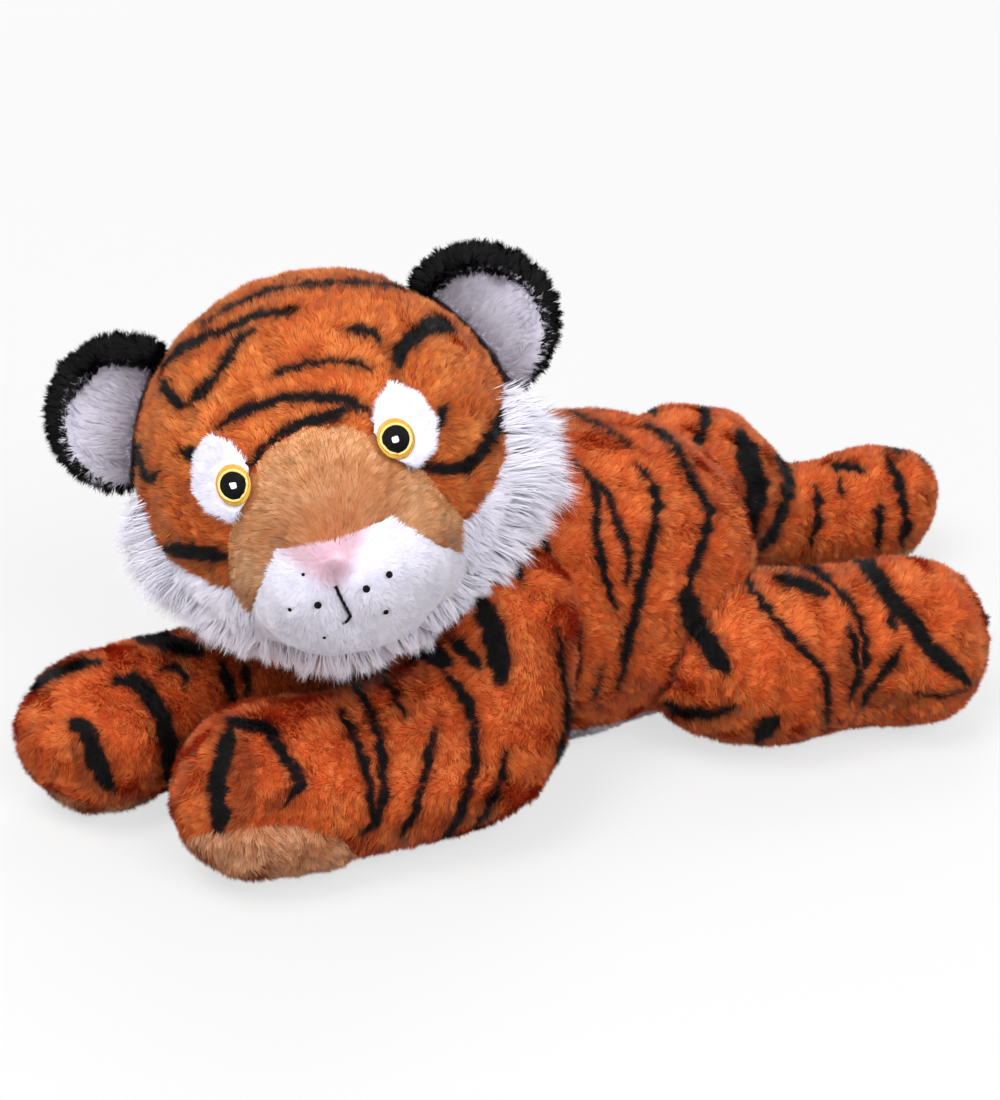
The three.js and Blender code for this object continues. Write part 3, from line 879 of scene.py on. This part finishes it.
def meshOfBlades(name, blades):
    # a blade of 3 corners is one triangle; one of 5 is a quad to its elbow and a triangle to its tip
    # each blade has its own cell of the bake map
    count, size = blades.shape[:2]
    if size == 3:
        order, sizes = [0, 1, 2], [3]
        within = [(0.1, 0.1), (0.9, 0.1), (0.5, 0.9)]
    else:
        order, sizes = [0, 1, 2, 3, 3, 2, 4], [4, 3]
        within = [(0.1, 0.1), (0.9, 0.1), (0.9, 0.5), (0.1, 0.5), (0.1, 0.5), (0.9, 0.5), (0.5, 0.95)]
    mesh = bpy.data.meshes.new(name)
    mesh.vertices.add(count * size)
    mesh.vertices.foreach_set("co", (blades * mm).astype(np.float32).ravel())
    mesh.loops.add(count * len(order))
    corners = np.arange(count)[:, None] * size + np.array(order)
    mesh.loops.foreach_set("vertex_index", corners.astype(np.int32).ravel())
    mesh.polygons.add(count * len(sizes))
    starts = np.arange(count)[:, None] * len(order) + np.array([0, 4][:len(sizes)])
    mesh.polygons.foreach_set("loop_start", starts.astype(np.int32).ravel())
    rows = math.ceil(math.sqrt(count))
    cell = np.column_stack([np.arange(count) % rows, np.arange(count) // rows])
    spots = (cell[:, None, :] + np.array(within)[None]) / rows
    bakeMap = mesh.uv_layers.new(name="OFBake")
    bakeMap.data.foreach_set("uv", spots.astype(np.float32).ravel())
    mesh.update(calc_edges=True)
    mesh.shade_smooth()
    item = bpy.data.objects.new(name, mesh)
    scene.collection.objects.link(item)
    return item


# Body: torso, legs and tail

bodyPile = {
    "perSquareMm": 9, "length": 2.8, "width": 0.32, "lean": 48, "swirl": 60, "tuft": 2.2, "gather": 0.45,
    "bent": False, "relief": 0.28, "lift": (0, 0, 0),
}


def torsoSeamGap(points):
    return np.abs(points[:, 0])


def flowBack(points, outward):
    return np.column_stack([0.25 * np.sign(points[:, 0]), np.ones(len(points)), np.full(len(points), -0.45)])


belly = {"halfWide": 37, "halfLong": 39, "top": 15}  # mm
headClear = 4  # mm round the head where the torso has no pile


def isBelly(points):
    x, y, z = np.abs(points[:, 0]), np.abs(points[:, 1]), points[:, 2]
    return (x < belly["halfWide"]) & (y < belly["halfLong"]) & (z < belly["top"])


def makeTorso():
    skin = stuffedSkin("torsoSkin", "torso_filling", "torso", torsoSeamGap)
    points = placesOf(skin)
    keepNumbers(skin, "mark", furMarks("torso", points, normalsOf(skin)) * ~isBelly(points))
    dressFaces(skin, ["shadedOrange", "white"], isBelly(faceMiddles(skin)))
    headCentre = np.array(headFrame["centre"])

    def outsideHead(points):
        return np.linalg.norm(points - headCentre, axis=1) > headFrame["radius"] + headClear

    def onSide(sign):
        return lambda p, n: ~isBelly(p) & outsideHead(p) & (p[:, 0] * sign > 0)

    under = growPile("bellyPile", skin, "white", dict(bodyPile, seed=110), lambda p, n: isBelly(p), flowBack)
    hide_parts("belly_panel")
    made = [skin, under]
    for side, sign in (("Left", 1), ("Right", -1)):
        coat = growPile(
            "torso" + side + "Pile", skin, "shadedOrange", dict(bodyPile, seed=100), onSide(sign), flowBack,
            lambda p, n: furMarks("torso", p, n),
        )
        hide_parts("torso_side_" + side.lower())
        made.append(coat)
    for item in made:
        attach(item, "torso")


# Each leg: the way its pile lies, its sole's middle and radius in mm, where it bends at its root,
# the X of the seam under it, and its bulges
legs = {
    "front_leg_left": {
        "name": "frontLegLeft", "flow": (0.1, -0.8, -0.5), "sole": (46.4, -137.5, 6.0), "soleRadius": 27,
        "bendStart": (46, -26, 40), "bendEnd": (52, -66, 40), "seam": 40,
        "bulges": [((66, -62, 24), 36, (5.5, 2.5, 0)), ((36, -157, 20), 26, (0, -3, 0))],
    },
    "front_leg_right": {
        "name": "frontLegRight", "flow": (0.1, -0.8, -0.5), "sole": (-21, -168, -9), "soleRadius": 27,
        "bendStart": (-46, -24, 40), "bendEnd": (-50, -64, 40), "seam": -36,
        "bulges": [((-27, -126, 46), 28, (0, 0, 4)), ((-24, -184, 30), 26, (0, -2, 0))],
    },
    "hind_leg_left": {
        "name": "hindLegLeft", "flow": (0.2, 0.8, -0.4), "sole": (56.1, 95.0, -2.0), "soleRadius": 20,
        "bendStart": (50, -8, 30), "bendEnd": (56, 34, 30), "seam": 50,
        "bulges": [((76, 82, 12), 26, (3, 1.5, 0))],
    },
    "hind_leg_right": {
        "name": "hindLegRight", "flow": (0.0, 0.8, -0.4), "sole": (-30.4, 139.0, -4.0), "soleRadius": 20,
        "bendStart": (-50, 10, 30), "bendEnd": (-52, 50, 30), "seam": -45,
        "bulges": [((-56, 60, 64), 26, (0, 0, 3)), ((-20, 142, 34), 24, (1, 2, 2.5))],
    },
}


soleFlow = np.array([0.5, 0.2, -0.85])
underSeam = {"below": 12, "far": 50}  # mm: how high the seam under a leg reaches, and its gap above that


def makeLeg(body, leg, number):
    flow, soleMiddle = np.array(leg["flow"]), np.array(leg["sole"])

    def soleGap(points):
        return np.linalg.norm(points - soleMiddle, axis=1) - leg["soleRadius"]

    def seamGap(points):
        aside = np.abs(points[:, 0] - leg["seam"])
        under = np.where(points[:, 2] < underSeam["below"], aside, underSeam["far"])
        return np.minimum(np.abs(soleGap(points)), under)

    def comb(points, outward):
        return np.tile(flow, (len(points), 1))

    def combSole(points, outward):
        return np.tile(soleFlow, (len(points), 1))

    skin = stuffedSkin(leg["name"] + "Skin", body + "_filling", body, seamGap, leg["bulges"])
    points = placesOf(skin)
    keepNumbers(skin, "mark", furMarks(body, points, normalsOf(skin)) * (soleGap(points) > 0))
    dressFaces(skin, ["shadedOrange", "sole"], soleGap(faceMiddles(skin)) < 0)
    settings = dict(bodyPile, seed=200 + number * 20)
    coat = growPile(
        leg["name"] + "Pile", skin, "shadedOrange", settings, lambda p, n: soleGap(p) > 0, comb,
        lambda p, n: furMarks(body, p, n),
    )
    sole = growPile(
        leg["name"] + "SolePile", skin, "sole", dict(settings, seed=settings["seed"] + 10, length=3.0),
        lambda p, n: soleGap(p) <= 0, combSole,
    )
    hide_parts(body + "_skin")
    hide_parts(body + "_sole")
    for item in (skin, coat, sole):
        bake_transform(item)


def makeTail():
    skin = stuffedSkin(
        "tailSkin", "tail_filling", "tail", lambda p: np.full(len(p), float(underSeam["far"])),
    )
    keepNumbers(skin, "mark", tailBands(placesOf(skin), normalsOf(skin)))
    dressFaces(skin, ["shadedOrange"], np.zeros(len(skin.data.polygons)))
    coat = growPile(
        "tailPile", skin, "shadedOrange", dict(bodyPile, seed=300), lambda p, n: np.ones(len(p), bool), flowBack,
        tailBands,
    )
    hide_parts("tail_skin")
    for item in (skin, coat):
        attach(item, "tail")


makeTorso()
say("torso is covered")
for number, (body, leg) in enumerate(legs.items()):
    makeLeg(body, leg, number)
say("legs are covered")
makeTail()

# Head: skin, face panels, ruff

headPile = dict(bodyPile, perSquareMm=7.5, length=2.6, seed=400)
snoutPile = dict(
    bodyPile, perSquareMm=14, length=3, width=0.23, lean=46, swirl=12, tuft=1.8, gather=0.25, seed=420,
)
paleLift = headTurned()[:, 2]  # out of the face
muzzlePile = dict(
    bodyPile, perSquareMm=18, length=2.1, width=0.2, lean=46, swirl=18, gather=0.12, relief=0.08,
    lift=paleLift * 0.4, seed=440,
)
cheekPile = dict(
    bodyPile, perSquareMm=8, length=4.4, lean=58, swirl=24, tuft=2.6, relief=0.16,
    lift=paleLift * 1.3, seed=460,
)
ruffPile = {
    "perSquareMm": 10, "length": 16.5, "width": 0.27, "lean": 32, "swirl": 42, "tuft": 4.6,
    "gather": 0.95, "bent": True, "relief": 0.14, "lift": paleLift * 1.1, "seed": 480,
}
patchPile = dict(
    bodyPile, perSquareMm=20, length=1.7, width=0.26, lean=28, swirl=30, gather=0.2, relief=0.12,
    lift=paleLift * 0.5, seed=500,
)
eyeSpacing = 45
eyeOpening = (6.2, 7.2)  # mm, half of its width and height
noPlace = 9  # a share beyond any rim


def combFrom(points, height, backward):
    # the pile's way out from a height on the face's middle line, and backward, in mm
    local = toHead(points)
    way = np.column_stack([local[:, 0], local[:, 1] - height, np.full(len(points), -backward)])
    return way @ headTurned().T


def awayFromNose(points, outward):
    return combFrom(points, -24, 12)


def fanOut(points, outward):
    return combFrom(points, 6, 9)


def eyeGap(points):
    # 1 on the rim of the eye's opening, and less inside it
    local = toHead(points)
    gap = np.hypot((np.abs(local[:, 0]) - eyeSpacing / 2) / eyeOpening[0], local[:, 1] / eyeOpening[1])
    return np.where(local[:, 2] > 0, gap, noPlace)


def inPatch(points):
    local = toHead(points) / headFrame["radius"]
    return inside(np.abs(local[:, 0]), local[:, 1], facePanels["patch"]) & (local[:, 2] > 0)


# Where the camera sees the mouth stitch and the whisker dots, in px, and the dots' radii in mm
mouthLine = [(336, 586), (341, 597), (347, 608), (351, 616), (347, 621), (342, 624)]
whiskerDots = [
    ((318, 603), 1.05), ((293, 607), 0.6), ((325, 633), 0.5), ((305, 575), 0.5), ((367, 588), 1.05),
    ((387, 575), 1.0), ((384, 608), 0.8),
]


muzzleForm = {
    "dent": [(334, 572), (342, 600), (347, 624)],  # px
    "dentDepth": 2.2,  # mm
    "dentWide": 9,  # px
    "puffs": [(300, 604), (374, 592)],
    "puffRise": 2.0,
    "puffWide": 24,
}
stitchParting = 2  # px round the stitches where no pile grows
dotReach = 2.5  # px to a mm, about


def stitchGap(points):
    # how far points are from the black stitches, in px
    x, y = seenAt(points)
    gap = lineGap(x, y, mouthLine)[0]
    for (dotX, dotY), radius in whiskerDots:
        gap = np.minimum(gap, np.hypot(x - dotX, y - dotY) - radius * dotReach)
    return gap


def noseBlush(points, outward):
    # the airbrushed pink nose: a soft triangle at the top of the muzzle, a little to the tiger's right
    local = toHead(points) / headFrame["radius"]
    x, y = np.abs(local[:, 0] + 0.05), local[:, 1]
    sides = ease(0.06, -0.06, x - 0.21 * np.clip((y + 0.64) / 0.26, 0, 1))
    return 0.6 * sides * ease(-0.68, -0.54, y)


def bridgeBrown(points, outward):
    # the snout's plush is redder next to the muzzle and pale at its upper rim
    local = toHead(points) / headFrame["radius"]
    x, y = np.abs(local[:, 0]), local[:, 1]
    middle = 0.75 * np.exp(-((x / 0.42) ** 2) - ((y + 0.33) / 0.24) ** 2)
    lobe = 0.6 * np.exp(-(((x - 0.47) / 0.14) ** 2) - ((y + 0.55) / 0.1) ** 2)
    return np.maximum(middle, lobe)


def bridgeLength(points):
    # clipped short along its upper rim
    local = toHead(points) / headFrame["radius"]
    gap = lineGap(np.abs(local[:, 0]), local[:, 1], facePanels["bridge"][4:])[0]
    return 0.3 + 0.7 * ease(0, 0.14, gap)


def ruffShare(points):
    # where the long white fringe grows: round the lower rim of the face, longest at the cheeks
    local = toHead(points) / headFrame["radius"]
    angle = np.degrees(np.arctan2(-local[:, 1], np.abs(local[:, 0])))  # below the ear line
    rim = ease(-0.34, -0.16, local[:, 2]) * ease(0.34, 0.12, local[:, 2])
    return rim * ease(-8, 6, angle), angle


# The fringe's length by its angle below the ears, in degrees, and the right side's share of that
ruffShape = {
    "angles": [-8, 5, 15, 34, 52, 64, 90],
    "lengths": [0.5, 0.95, 1.05, 0.8, 0.55, 0.48, 0.42],
    "rightAngles": [30, 60, 75],
    "rightShares": [0.75, 0.9, 1.3],
    "lastAngle": 95,
    "waver": 0.16,
    "waverSize": 9,  # mm
}


def makeHead():
    skin = stuffedSkin("headSkin", "head_filling", "head", faceSeamGap)
    points, normals = placesOf(skin), normalsOf(skin)
    x, y = seenAt(points)
    gap = lineGap(x, y, muzzleForm["dent"])[0]
    dent = muzzleForm["dentDepth"] * np.exp(-((gap / muzzleForm["dentWide"]) ** 2))
    for puffX, puffY in muzzleForm["puffs"]:
        away = ((x - puffX) ** 2 + (y - puffY) ** 2) / muzzleForm["puffWide"] ** 2
        dent = dent - muzzleForm["puffRise"] * np.exp(-away)
    points = points - normals * (dent * (toHead(points)[:, 2] > 0))[:, None]
    setPlaces(skin, points)
    zone = faceZone(points)
    normals = normalsOf(skin)
    blush = np.where(zone == 2, noseBlush(points, normals), 0)
    keepNumbers(skin, "mark", np.where(zone == 0, furMarks("head", points, normals), blush))
    dressFaces(skin, ["orange", "tan", "white", "white"], faceZone(faceMiddles(skin)))

    def zoned(number, near=1.0):
        return lambda p, n: (faceZone(p) == number) & (eyeGap(p) > near) & ~inPatch(p)

    crown = growPile(
        "crownPile", skin, "orange", headPile, zoned(0, 1.15), awayFromNose,
        lambda p, n: furMarks("head", p, n),
    )
    bridge = growPile(
        "snoutPile", skin, "tan", snoutPile, zoned(1, 1.15), awayFromNose, bridgeBrown, bridgeLength,
    )
    muzzle = growPile(
        "muzzlePile", skin, "white", muzzlePile,
        lambda p, n: zoned(2)(p, n) & (stitchGap(p) > stitchParting), awayFromNose, noseBlush,
    )
    cheek = growPile("cheekPile", skin, "white", cheekPile, zoned(3), fanOut)

    def onSide(sign):
        def keep(points, outward):
            share, angle = ruffShare(points)
            side = toHead(points)[:, 0] * sign > 0
            thinned = share > np.random.default_rng(77).random(len(points))
            return side & thinned & (angle < ruffShape["lastAngle"])
        return keep

    def ruffLength(points):
        angle = ruffShare(points)[1]
        long = np.interp(angle, ruffShape["angles"], ruffShape["lengths"])
        long = long * (1 + ruffShape["waver"] * ripple(points, ruffShape["waverSize"], 83))
        rightShare = np.interp(angle, ruffShape["rightAngles"], ruffShape["rightShares"])
        return long * np.where(toHead(points)[:, 0] > 0, 1, rightShare)

    ruffs = {}
    for side, sign in (("Left", 1), ("Right", -1)):
        settings = dict(ruffPile, seed=ruffPile["seed"] + sign)
        ruffs[side] = growPile(
            "ruff" + side + "Pile", skin, "white", settings, onSide(sign), fanOut, None, ruffLength,
        )
    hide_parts("head_crown")
    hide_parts("snout_bridge")
    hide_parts("muzzle_front")
    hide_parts("cheek_panel")
    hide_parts("ruff_left")
    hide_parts("ruff_right")
    for item in (skin, crown, bridge, muzzle, cheek, *ruffs.values()):
        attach(item, "head")
    return skin


headSkin = makeHead()
say("head is covered")

# Eyes: a white patch of short pile, a satin-stitched iris with a pale ring, a pupil and a glint

eyeParts = {
    "iris": {"wide": 9.9, "high": 11.3, "thick": 1.6, "raise": 4.0},
    "pupil": {"wide": 7.3, "high": 7.5, "thick": 1.2, "raise": 4.7},
    "glint": {"wide": 1.7, "high": 1.7, "thick": 0.7, "raise": 5.3},
    "ring": {"wide": 7.9, "high": 8.1, "thick": 0.7, "raise": 4.7},
}
threadFinish = {
    "iris": satinThread("amberSatinStitch", "#A06818", "#E2AC40"),
    "ring": satinThread("paleSatinStitch", "#E8C45C", "#F9E294"),
    "pupil": satinThread("blackSatinStitch", "#030304", "#0C0C10", shine=0.1),
    "glint": satinThread("whiteSatinStitch", "#E8E8F0", "#FFFFFF"),
    "mouth": satinThread("blackThreadStitch", "#040304", "#0E0C0E", 0.3, 0.1),
}


def surfaceTree(item):
    mesh = item.data
    corners = [v.co.copy() for v in mesh.vertices]
    return BVHTree.FromPolygons(corners, [tuple(p.vertices) for p in mesh.polygons])


def mapThread(item, points):
    # lays the thread's map flat on the face, in mm
    layer = item.data.uv_layers.active or item.data.uv_layers.new(name="stitch")
    layer.name = "stitch"
    for corner in item.data.loops:
        layer.data[corner.index].uv = points[corner.vertex_index][:2]


def layOnFace(item, tree, centre, part):
    # moves a flat piece, made round the origin in mm, onto the face at a place in the head's frame
    points = placesOf(item)
    ahead = headTurned()[:, 2]
    out = []
    for x, y, z in points:
        start = fromHead(np.array([[centre[0] + x, centre[1] + y, 90.0]]))[0]  # before the face
        hit, normal, _, _ = tree.ray_cast(Vector(start * mm), Vector(-ahead))
        spot = np.array(hit) / mm if hit else start - ahead * 40
        raised = spot + ahead * (part["raise"] * 0.75 + z)
        out.append(raised + np.array(normal or (0, 0, 0)) * part["raise"] * 0.25)
    mapThread(item, points)
    setPlaces(item, np.array(out))


def makeEye(side, sign, tree):
    patch = copyNodes("eyePatch" + side, ["eye_patch_" + side.lower()])
    applyModifier(patch, "REMESH", mode="VOXEL", voxel_size=0.7 * mm, use_smooth_shade=True)
    setPlaces(patch, placesOf(patch) - headTurned()[:, 2] * 1.4)
    keepNumbers(patch, "mark", np.zeros(len(patch.data.vertices)))
    patch.data.materials.append(clothFinish["white"])
    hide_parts("eye_patch_" + side.lower())
    turned = headTurned()
    pile = growPile(
        "eyePatch" + side + "Pile", patch, "white", patchPile,
        lambda p, n: (n @ turned[:, 2] > 0.1) & (eyeGap(p) > 0.98), awayFromNose,
    )
    made = [patch, pile]
    for name in ("iris", "ring", "pupil", "glint"):
        part = eyeParts[name]
        clearSelection()
        if name == "ring":
            bpy.ops.mesh.primitive_torus_add(
                major_segments=56, minor_segments=8, major_radius=0.5 * mm, minor_radius=0.045 * mm,
            )
        elif name == "glint":
            bpy.ops.mesh.primitive_cube_add(size=1 * mm)
        else:
            bpy.ops.mesh.primitive_uv_sphere_add(segments=48, ring_count=18, radius=0.5 * mm)
        item = bpy.context.active_object
        item.name = name + side
        if name == "glint":
            applyModifier(item, "BEVEL", width=0.25 * mm, segments=3)
        size = np.array([part["wide"], part["high"], part["thick"] * (1 if name != "ring" else 8)])
        setPlaces(item, placesOf(item) * size)
        layOnFace(item, tree, (sign * eyeSpacing / 2, 0), part)
        item.data.shade_smooth()
        item.data.materials.clear()
        item.data.materials.append(threadFinish[name])
        if name in ("iris", "pupil"):
            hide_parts("eye_" + name + "_" + side.lower())
        made.append(item)
    for item in made:
        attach(item, "head")


faceTree = surfaceTree(headSkin)
makeEye("Left", 1, faceTree)
makeEye("Right", -1, faceTree)
say("eyes are stitched")

# Mouth stitch and whisker dots: black thread on the muzzle

stitchRaise = 1.6  # mm above the cloth, among the ends of the pile


def onFace(x, y):
    start, way = rayThrough(x, y)
    hit, normal, _, _ = faceTree.ray_cast(Vector(start * mm), Vector(way))
    return np.array(hit) / mm, np.array(normal)


def makeMouth():
    spots = []
    for (x1, y1), (x2, y2) in zip(mouthLine, mouthLine[1:]):
        for step in range(4):
            spot, _ = onFace(x1 + (x2 - x1) * step / 4, y1 + (y2 - y1) * step / 4)
            spots.append(spot + paleLift * stitchRaise)
    data = bpy.data.curves.new("mouthStitch", "CURVE")
    data.dimensions = "3D"
    data.bevel_depth = 0.45 * mm
    data.bevel_resolution = 3
    data.use_fill_caps = True
    spline = data.splines.new("POLY")
    spline.points.add(len(spots) - 1)
    for point, spot in zip(spline.points, spots):
        point.co = (*(spot * mm), 1)
    item = bpy.data.objects.new("mouthStitch", data)
    scene.collection.objects.link(item)
    makeActive(item)
    bpy.ops.object.convert(target="MESH")
    finishThread(bpy.context.active_object)


def finishThread(item):
    mapThread(item, toHead(placesOf(item)))
    item.data.shade_smooth()
    item.data.materials.clear()
    item.data.materials.append(threadFinish["mouth"])
    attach(item, "head")


def makeWhiskerDot(number, place, radius):
    spot, normal = onFace(*place)
    clearSelection()
    bpy.ops.mesh.primitive_uv_sphere_add(segments=16, ring_count=10, radius=radius * mm)
    item = bpy.context.active_object
    item.name = f"whiskerDot{number}"
    turned = Vector(normal).to_track_quat("Z", "Y").to_matrix()
    points = placesOf(item) * np.array([1, 1, 0.6])
    setPlaces(item, points @ np.array(turned).T + spot + normal * stitchRaise)
    finishThread(item)


makeMouth()
for number, (place, radius) in enumerate(whiskerDots):
    makeWhiskerDot(number, place, radius)

# Ears: cups of cloth with black pile behind and on the rim, and long white pile inside, painted greyer with
# shade toward the head

earPlace = (52.0, 28.2, -4.5)  # middle of the left ear's rim in the head's frame, mm
earRoot = (44.0, 23.0)  # where it meets the head
earPull = 0.9  # size of the cloth, of the ear with its pile
earNudge = {"Left": (2.2, -0.6, 0), "Right": (-1.8, 2.2, 0)}  # the worn ears droop a little apart, mm
earEdge = [0.97, 0.95, 0.82, 0.75, 0.75]  # the lining's share of the ear, from its lower edge to its top
earBackPile = dict(
    bodyPile, perSquareMm=12, length=4, width=0.4, lean=35, swirl=50, tuft=2.2, gather=0.7, bent=True,
    relief=0.3, seed=600,
)
earRimPile = dict(earBackPile, perSquareMm=20, length=4.3, width=0.45, lean=26, seed=620)
earLiningPile = dict(
    bodyPile, perSquareMm=14, length=4.4, width=0.3, lean=60, swirl=14, relief=0.12,
    lift=paleLift * 0.2, seed=640,
)
earRim = {"wide": 24, "high": 23.5, "from": 0.68, "above": -4.5}  # half sizes in mm; where its pile begins


def makeEar(side, sign):
    middle = np.array([earPlace[0] * sign, earPlace[1], earPlace[2]])
    skin = copyNodes("ear" + side + "Cloth", ["ear_back_" + side.lower(), "ear_lining_" + side.lower()])
    applyModifier(skin, "REMESH", mode="VOXEL", voxel_size=1.5 * mm, use_smooth_shade=True)
    turned = headTurned()
    pull = np.array([earPull, earPull, 1])
    root = np.array([earRoot[0] * sign, earRoot[1], middle[2]])
    local = toHead(placesOf(skin) - normalsOf(skin) * 0.4)
    nudge = np.array(earNudge[side])
    setPlaces(skin, fromHead((local - root) * pull + root + nudge))
    skin.data.shade_smooth()
    middle = (middle - root) * pull + root + nudge

    def rimShare(points):
        local = toHead(points) - middle
        return np.hypot(local[:, 0] / earRim["wide"], local[:, 1] / earRim["high"]) / earPull, local

    def awayFrom(points, place):
        local = toHead(points) - place
        return np.column_stack([local[:, 0], local[:, 1], np.full(len(points), 1.0)]) @ turned.T

    def fromMiddle(points, outward):
        return awayFrom(points, middle)

    def fromRoot(points, outward):
        return awayFrom(points, root * 0.8)

    def isLining(points, outward):
        share, local = rimShare(points)
        angle = np.degrees(np.arctan2(local[:, 1], local[:, 0] * sign))
        edge = np.interp(angle, [-120, -60, 0, 60, 120], earEdge)
        return (outward @ turned[:, 2] > 0.1) & (share < edge)

    def isRim(points, outward):
        share, local = rimShare(points)
        return (share > earRim["from"]) & (local[:, 2] > earRim["above"])

    faces = faceMiddles(skin)
    shape = np.empty(len(skin.data.polygons) * 3, np.float32)
    skin.data.polygons.foreach_get("normal", shape)
    lined = isLining(faces, shape.reshape(-1, 3).astype(float))
    keepNumbers(skin, "mark", np.zeros(len(skin.data.vertices)))
    dressFaces(skin, ["black", "lining"], lined)

    def cupShade(points, outward):
        # painted shade: the cup is greyer toward the head, where the head shades it, by its distance in mm
        # from the face's middle
        return 0.85 * ease(80, 54, np.linalg.norm(toHead(points)[:, :2], axis=1))

    back = growPile(
        "ear" + side + "BackPile", skin, "black", earBackPile,
        lambda p, n: ~isLining(p, n) & ~isRim(p, n), fromMiddle,
    )
    rim = growPile(
        "ear" + side + "RimPile", skin, "black", earRimPile,
        lambda p, n: isRim(p, n) & ~isLining(p, n), fromMiddle,
    )
    lining = growPile(
        "ear" + side + "LiningPile", skin, "lining", earLiningPile, isLining, fromRoot, cupShade,
    )
    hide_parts("ear_back_" + side.lower())
    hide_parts("ear_lining_" + side.lower())
    for item in (skin, back, rim, lining):
        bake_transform(item)


makeEar("Left", 1)
makeEar("Right", -1)
say("ears are lined")

# Floor and light

studio = {
    "floorColour": "#7A7A7A", "floorBounce": "#8C857F", "floorGlow": 0.66, "floorSize": 30,
    "whiteFrom": 0.3, "whiteBy": 1.3,  # metres from the tiger, where the floor fades to the white behind
    "skyStrength": 0.5,
}


def makeFloor():
    clearSelection()
    bpy.ops.mesh.primitive_plane_add(size=studio["floorSize"])
    floor = bpy.context.active_object
    floor.name = "studioFloor"
    material, tree = newMaterial("paperSweep")
    path = addNode(tree, "ShaderNodeLightPath")
    colour = addNode(
        tree, "ShaderNodeMix", {6: linear(studio["floorBounce"]), 7: linear(studio["floorColour"])},
        {0: path.outputs["Is Camera Ray"]}, data_type="RGBA",
    )
    paper = addNode(
        tree, "ShaderNodeBsdfPrincipled", {"Roughness": 0.9, "Specular IOR Level": 0.1},
        {"Base Color": colour.outputs[2]},
    )
    glow = addNode(tree, "ShaderNodeEmission", {"Color": (1, 1, 1, 1), "Strength": studio["floorGlow"]})
    black = addNode(tree, "ShaderNodeEmission", {"Color": (0, 0, 0, 1), "Strength": 0})
    seen = addNode(
        tree, "ShaderNodeMixShader", None,
        {0: path.outputs["Is Camera Ray"], 1: black.outputs[0], 2: glow.outputs[0]},
    )
    both = addNode(tree, "ShaderNodeAddShader", None, {0: paper.outputs[0], 1: seen.outputs[0]})
    place = addNode(tree, "ShaderNodeTexCoord")
    away = addNode(tree, "ShaderNodeVectorMath", None, {0: place.outputs["Object"]}, operation="LENGTH")
    far = addNode(
        tree, "ShaderNodeMapRange", {"From Min": studio["whiteFrom"], "From Max": studio["whiteBy"]},
        {"Value": away.outputs["Value"]},
    )
    farSeen = addNode(
        tree, "ShaderNodeMath", None, {0: far.outputs[0], 1: path.outputs["Is Camera Ray"]},
        operation="MULTIPLY",
    )
    white = addNode(tree, "ShaderNodeEmission", {"Color": (1, 1, 1, 1), "Strength": 1})
    sweep = addNode(
        tree, "ShaderNodeMixShader", None, {0: farSeen.outputs[0], 1: both.outputs[0], 2: white.outputs[0]},
    )
    addNode(tree, "ShaderNodeOutputMaterial", None, {"Surface": sweep.outputs[0]})
    floor.data.materials.append(material)
    floor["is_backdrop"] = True


def makeSky():
    world = bpy.data.worlds.new("studioWorld")
    scene.world = world
    world.use_nodes = True
    tree = world.node_tree
    tree.nodes.clear()
    path = addNode(tree, "ShaderNodeLightPath")
    soft = addNode(tree, "ShaderNodeBackground", {"Color": (1, 1, 1, 1), "Strength": studio["skyStrength"]})
    white = addNode(tree, "ShaderNodeBackground", {"Color": (1, 1, 1, 1), "Strength": 1})
    mixed = addNode(
        tree, "ShaderNodeMixShader", None,
        {0: path.outputs["Is Camera Ray"], 1: soft.outputs[0], 2: white.outputs[0]},
    )
    addNode(tree, "ShaderNodeOutputWorld", None, {"Surface": mixed.outputs[0]})


# Each lamp: where it hangs and what it points at in metres, its width in metres and its power in watts
lamps = {
    "keyLamp": {"place": (0.4, -1.0, 2.1), "aim": (0, -0.03, 0.05), "size": 1.2, "power": 34},
    "fillLamp": {"place": (1.7, 0.0, 1.5), "aim": (0, 0, 0.05), "size": 1.2, "power": 34},
    "rimLamp": {"place": (-1.0, 0.7, 1.8), "aim": (0, 0, 0.08), "size": 1.0, "power": 10},
    "lowLamp": {"place": (0.9, -1.5, 0.45), "aim": (0, -0.05, 0.08), "size": 0.9, "power": 8.5},
}


def makeLamps():
    for name, lamp in lamps.items():
        data = bpy.data.lights.new(name, "AREA")
        data.shape = "DISK"
        data.size = lamp["size"]
        data.energy = lamp["power"]
        item = bpy.data.objects.new(name, data)
        scene.collection.objects.link(item)
        item.location = lamp["place"]
        way = Vector(lamp["aim"]) - Vector(lamp["place"])
        item.rotation_euler = way.to_track_quat("-Z", "Y").to_euler()


makeFloor()
makeSky()
makeLamps()
scene.view_settings.view_transform = "Standard"
say("floor and lamps are in place")

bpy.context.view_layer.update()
total = 0
large = 150000
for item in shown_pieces():
    size = sum(len(face.vertices) - 2 for face in item.data.polygons)
    total += size
    if size > large:
        say(f"{item.name} has {size} triangles")
say(f"{len(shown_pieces())} pieces, {total} triangles")
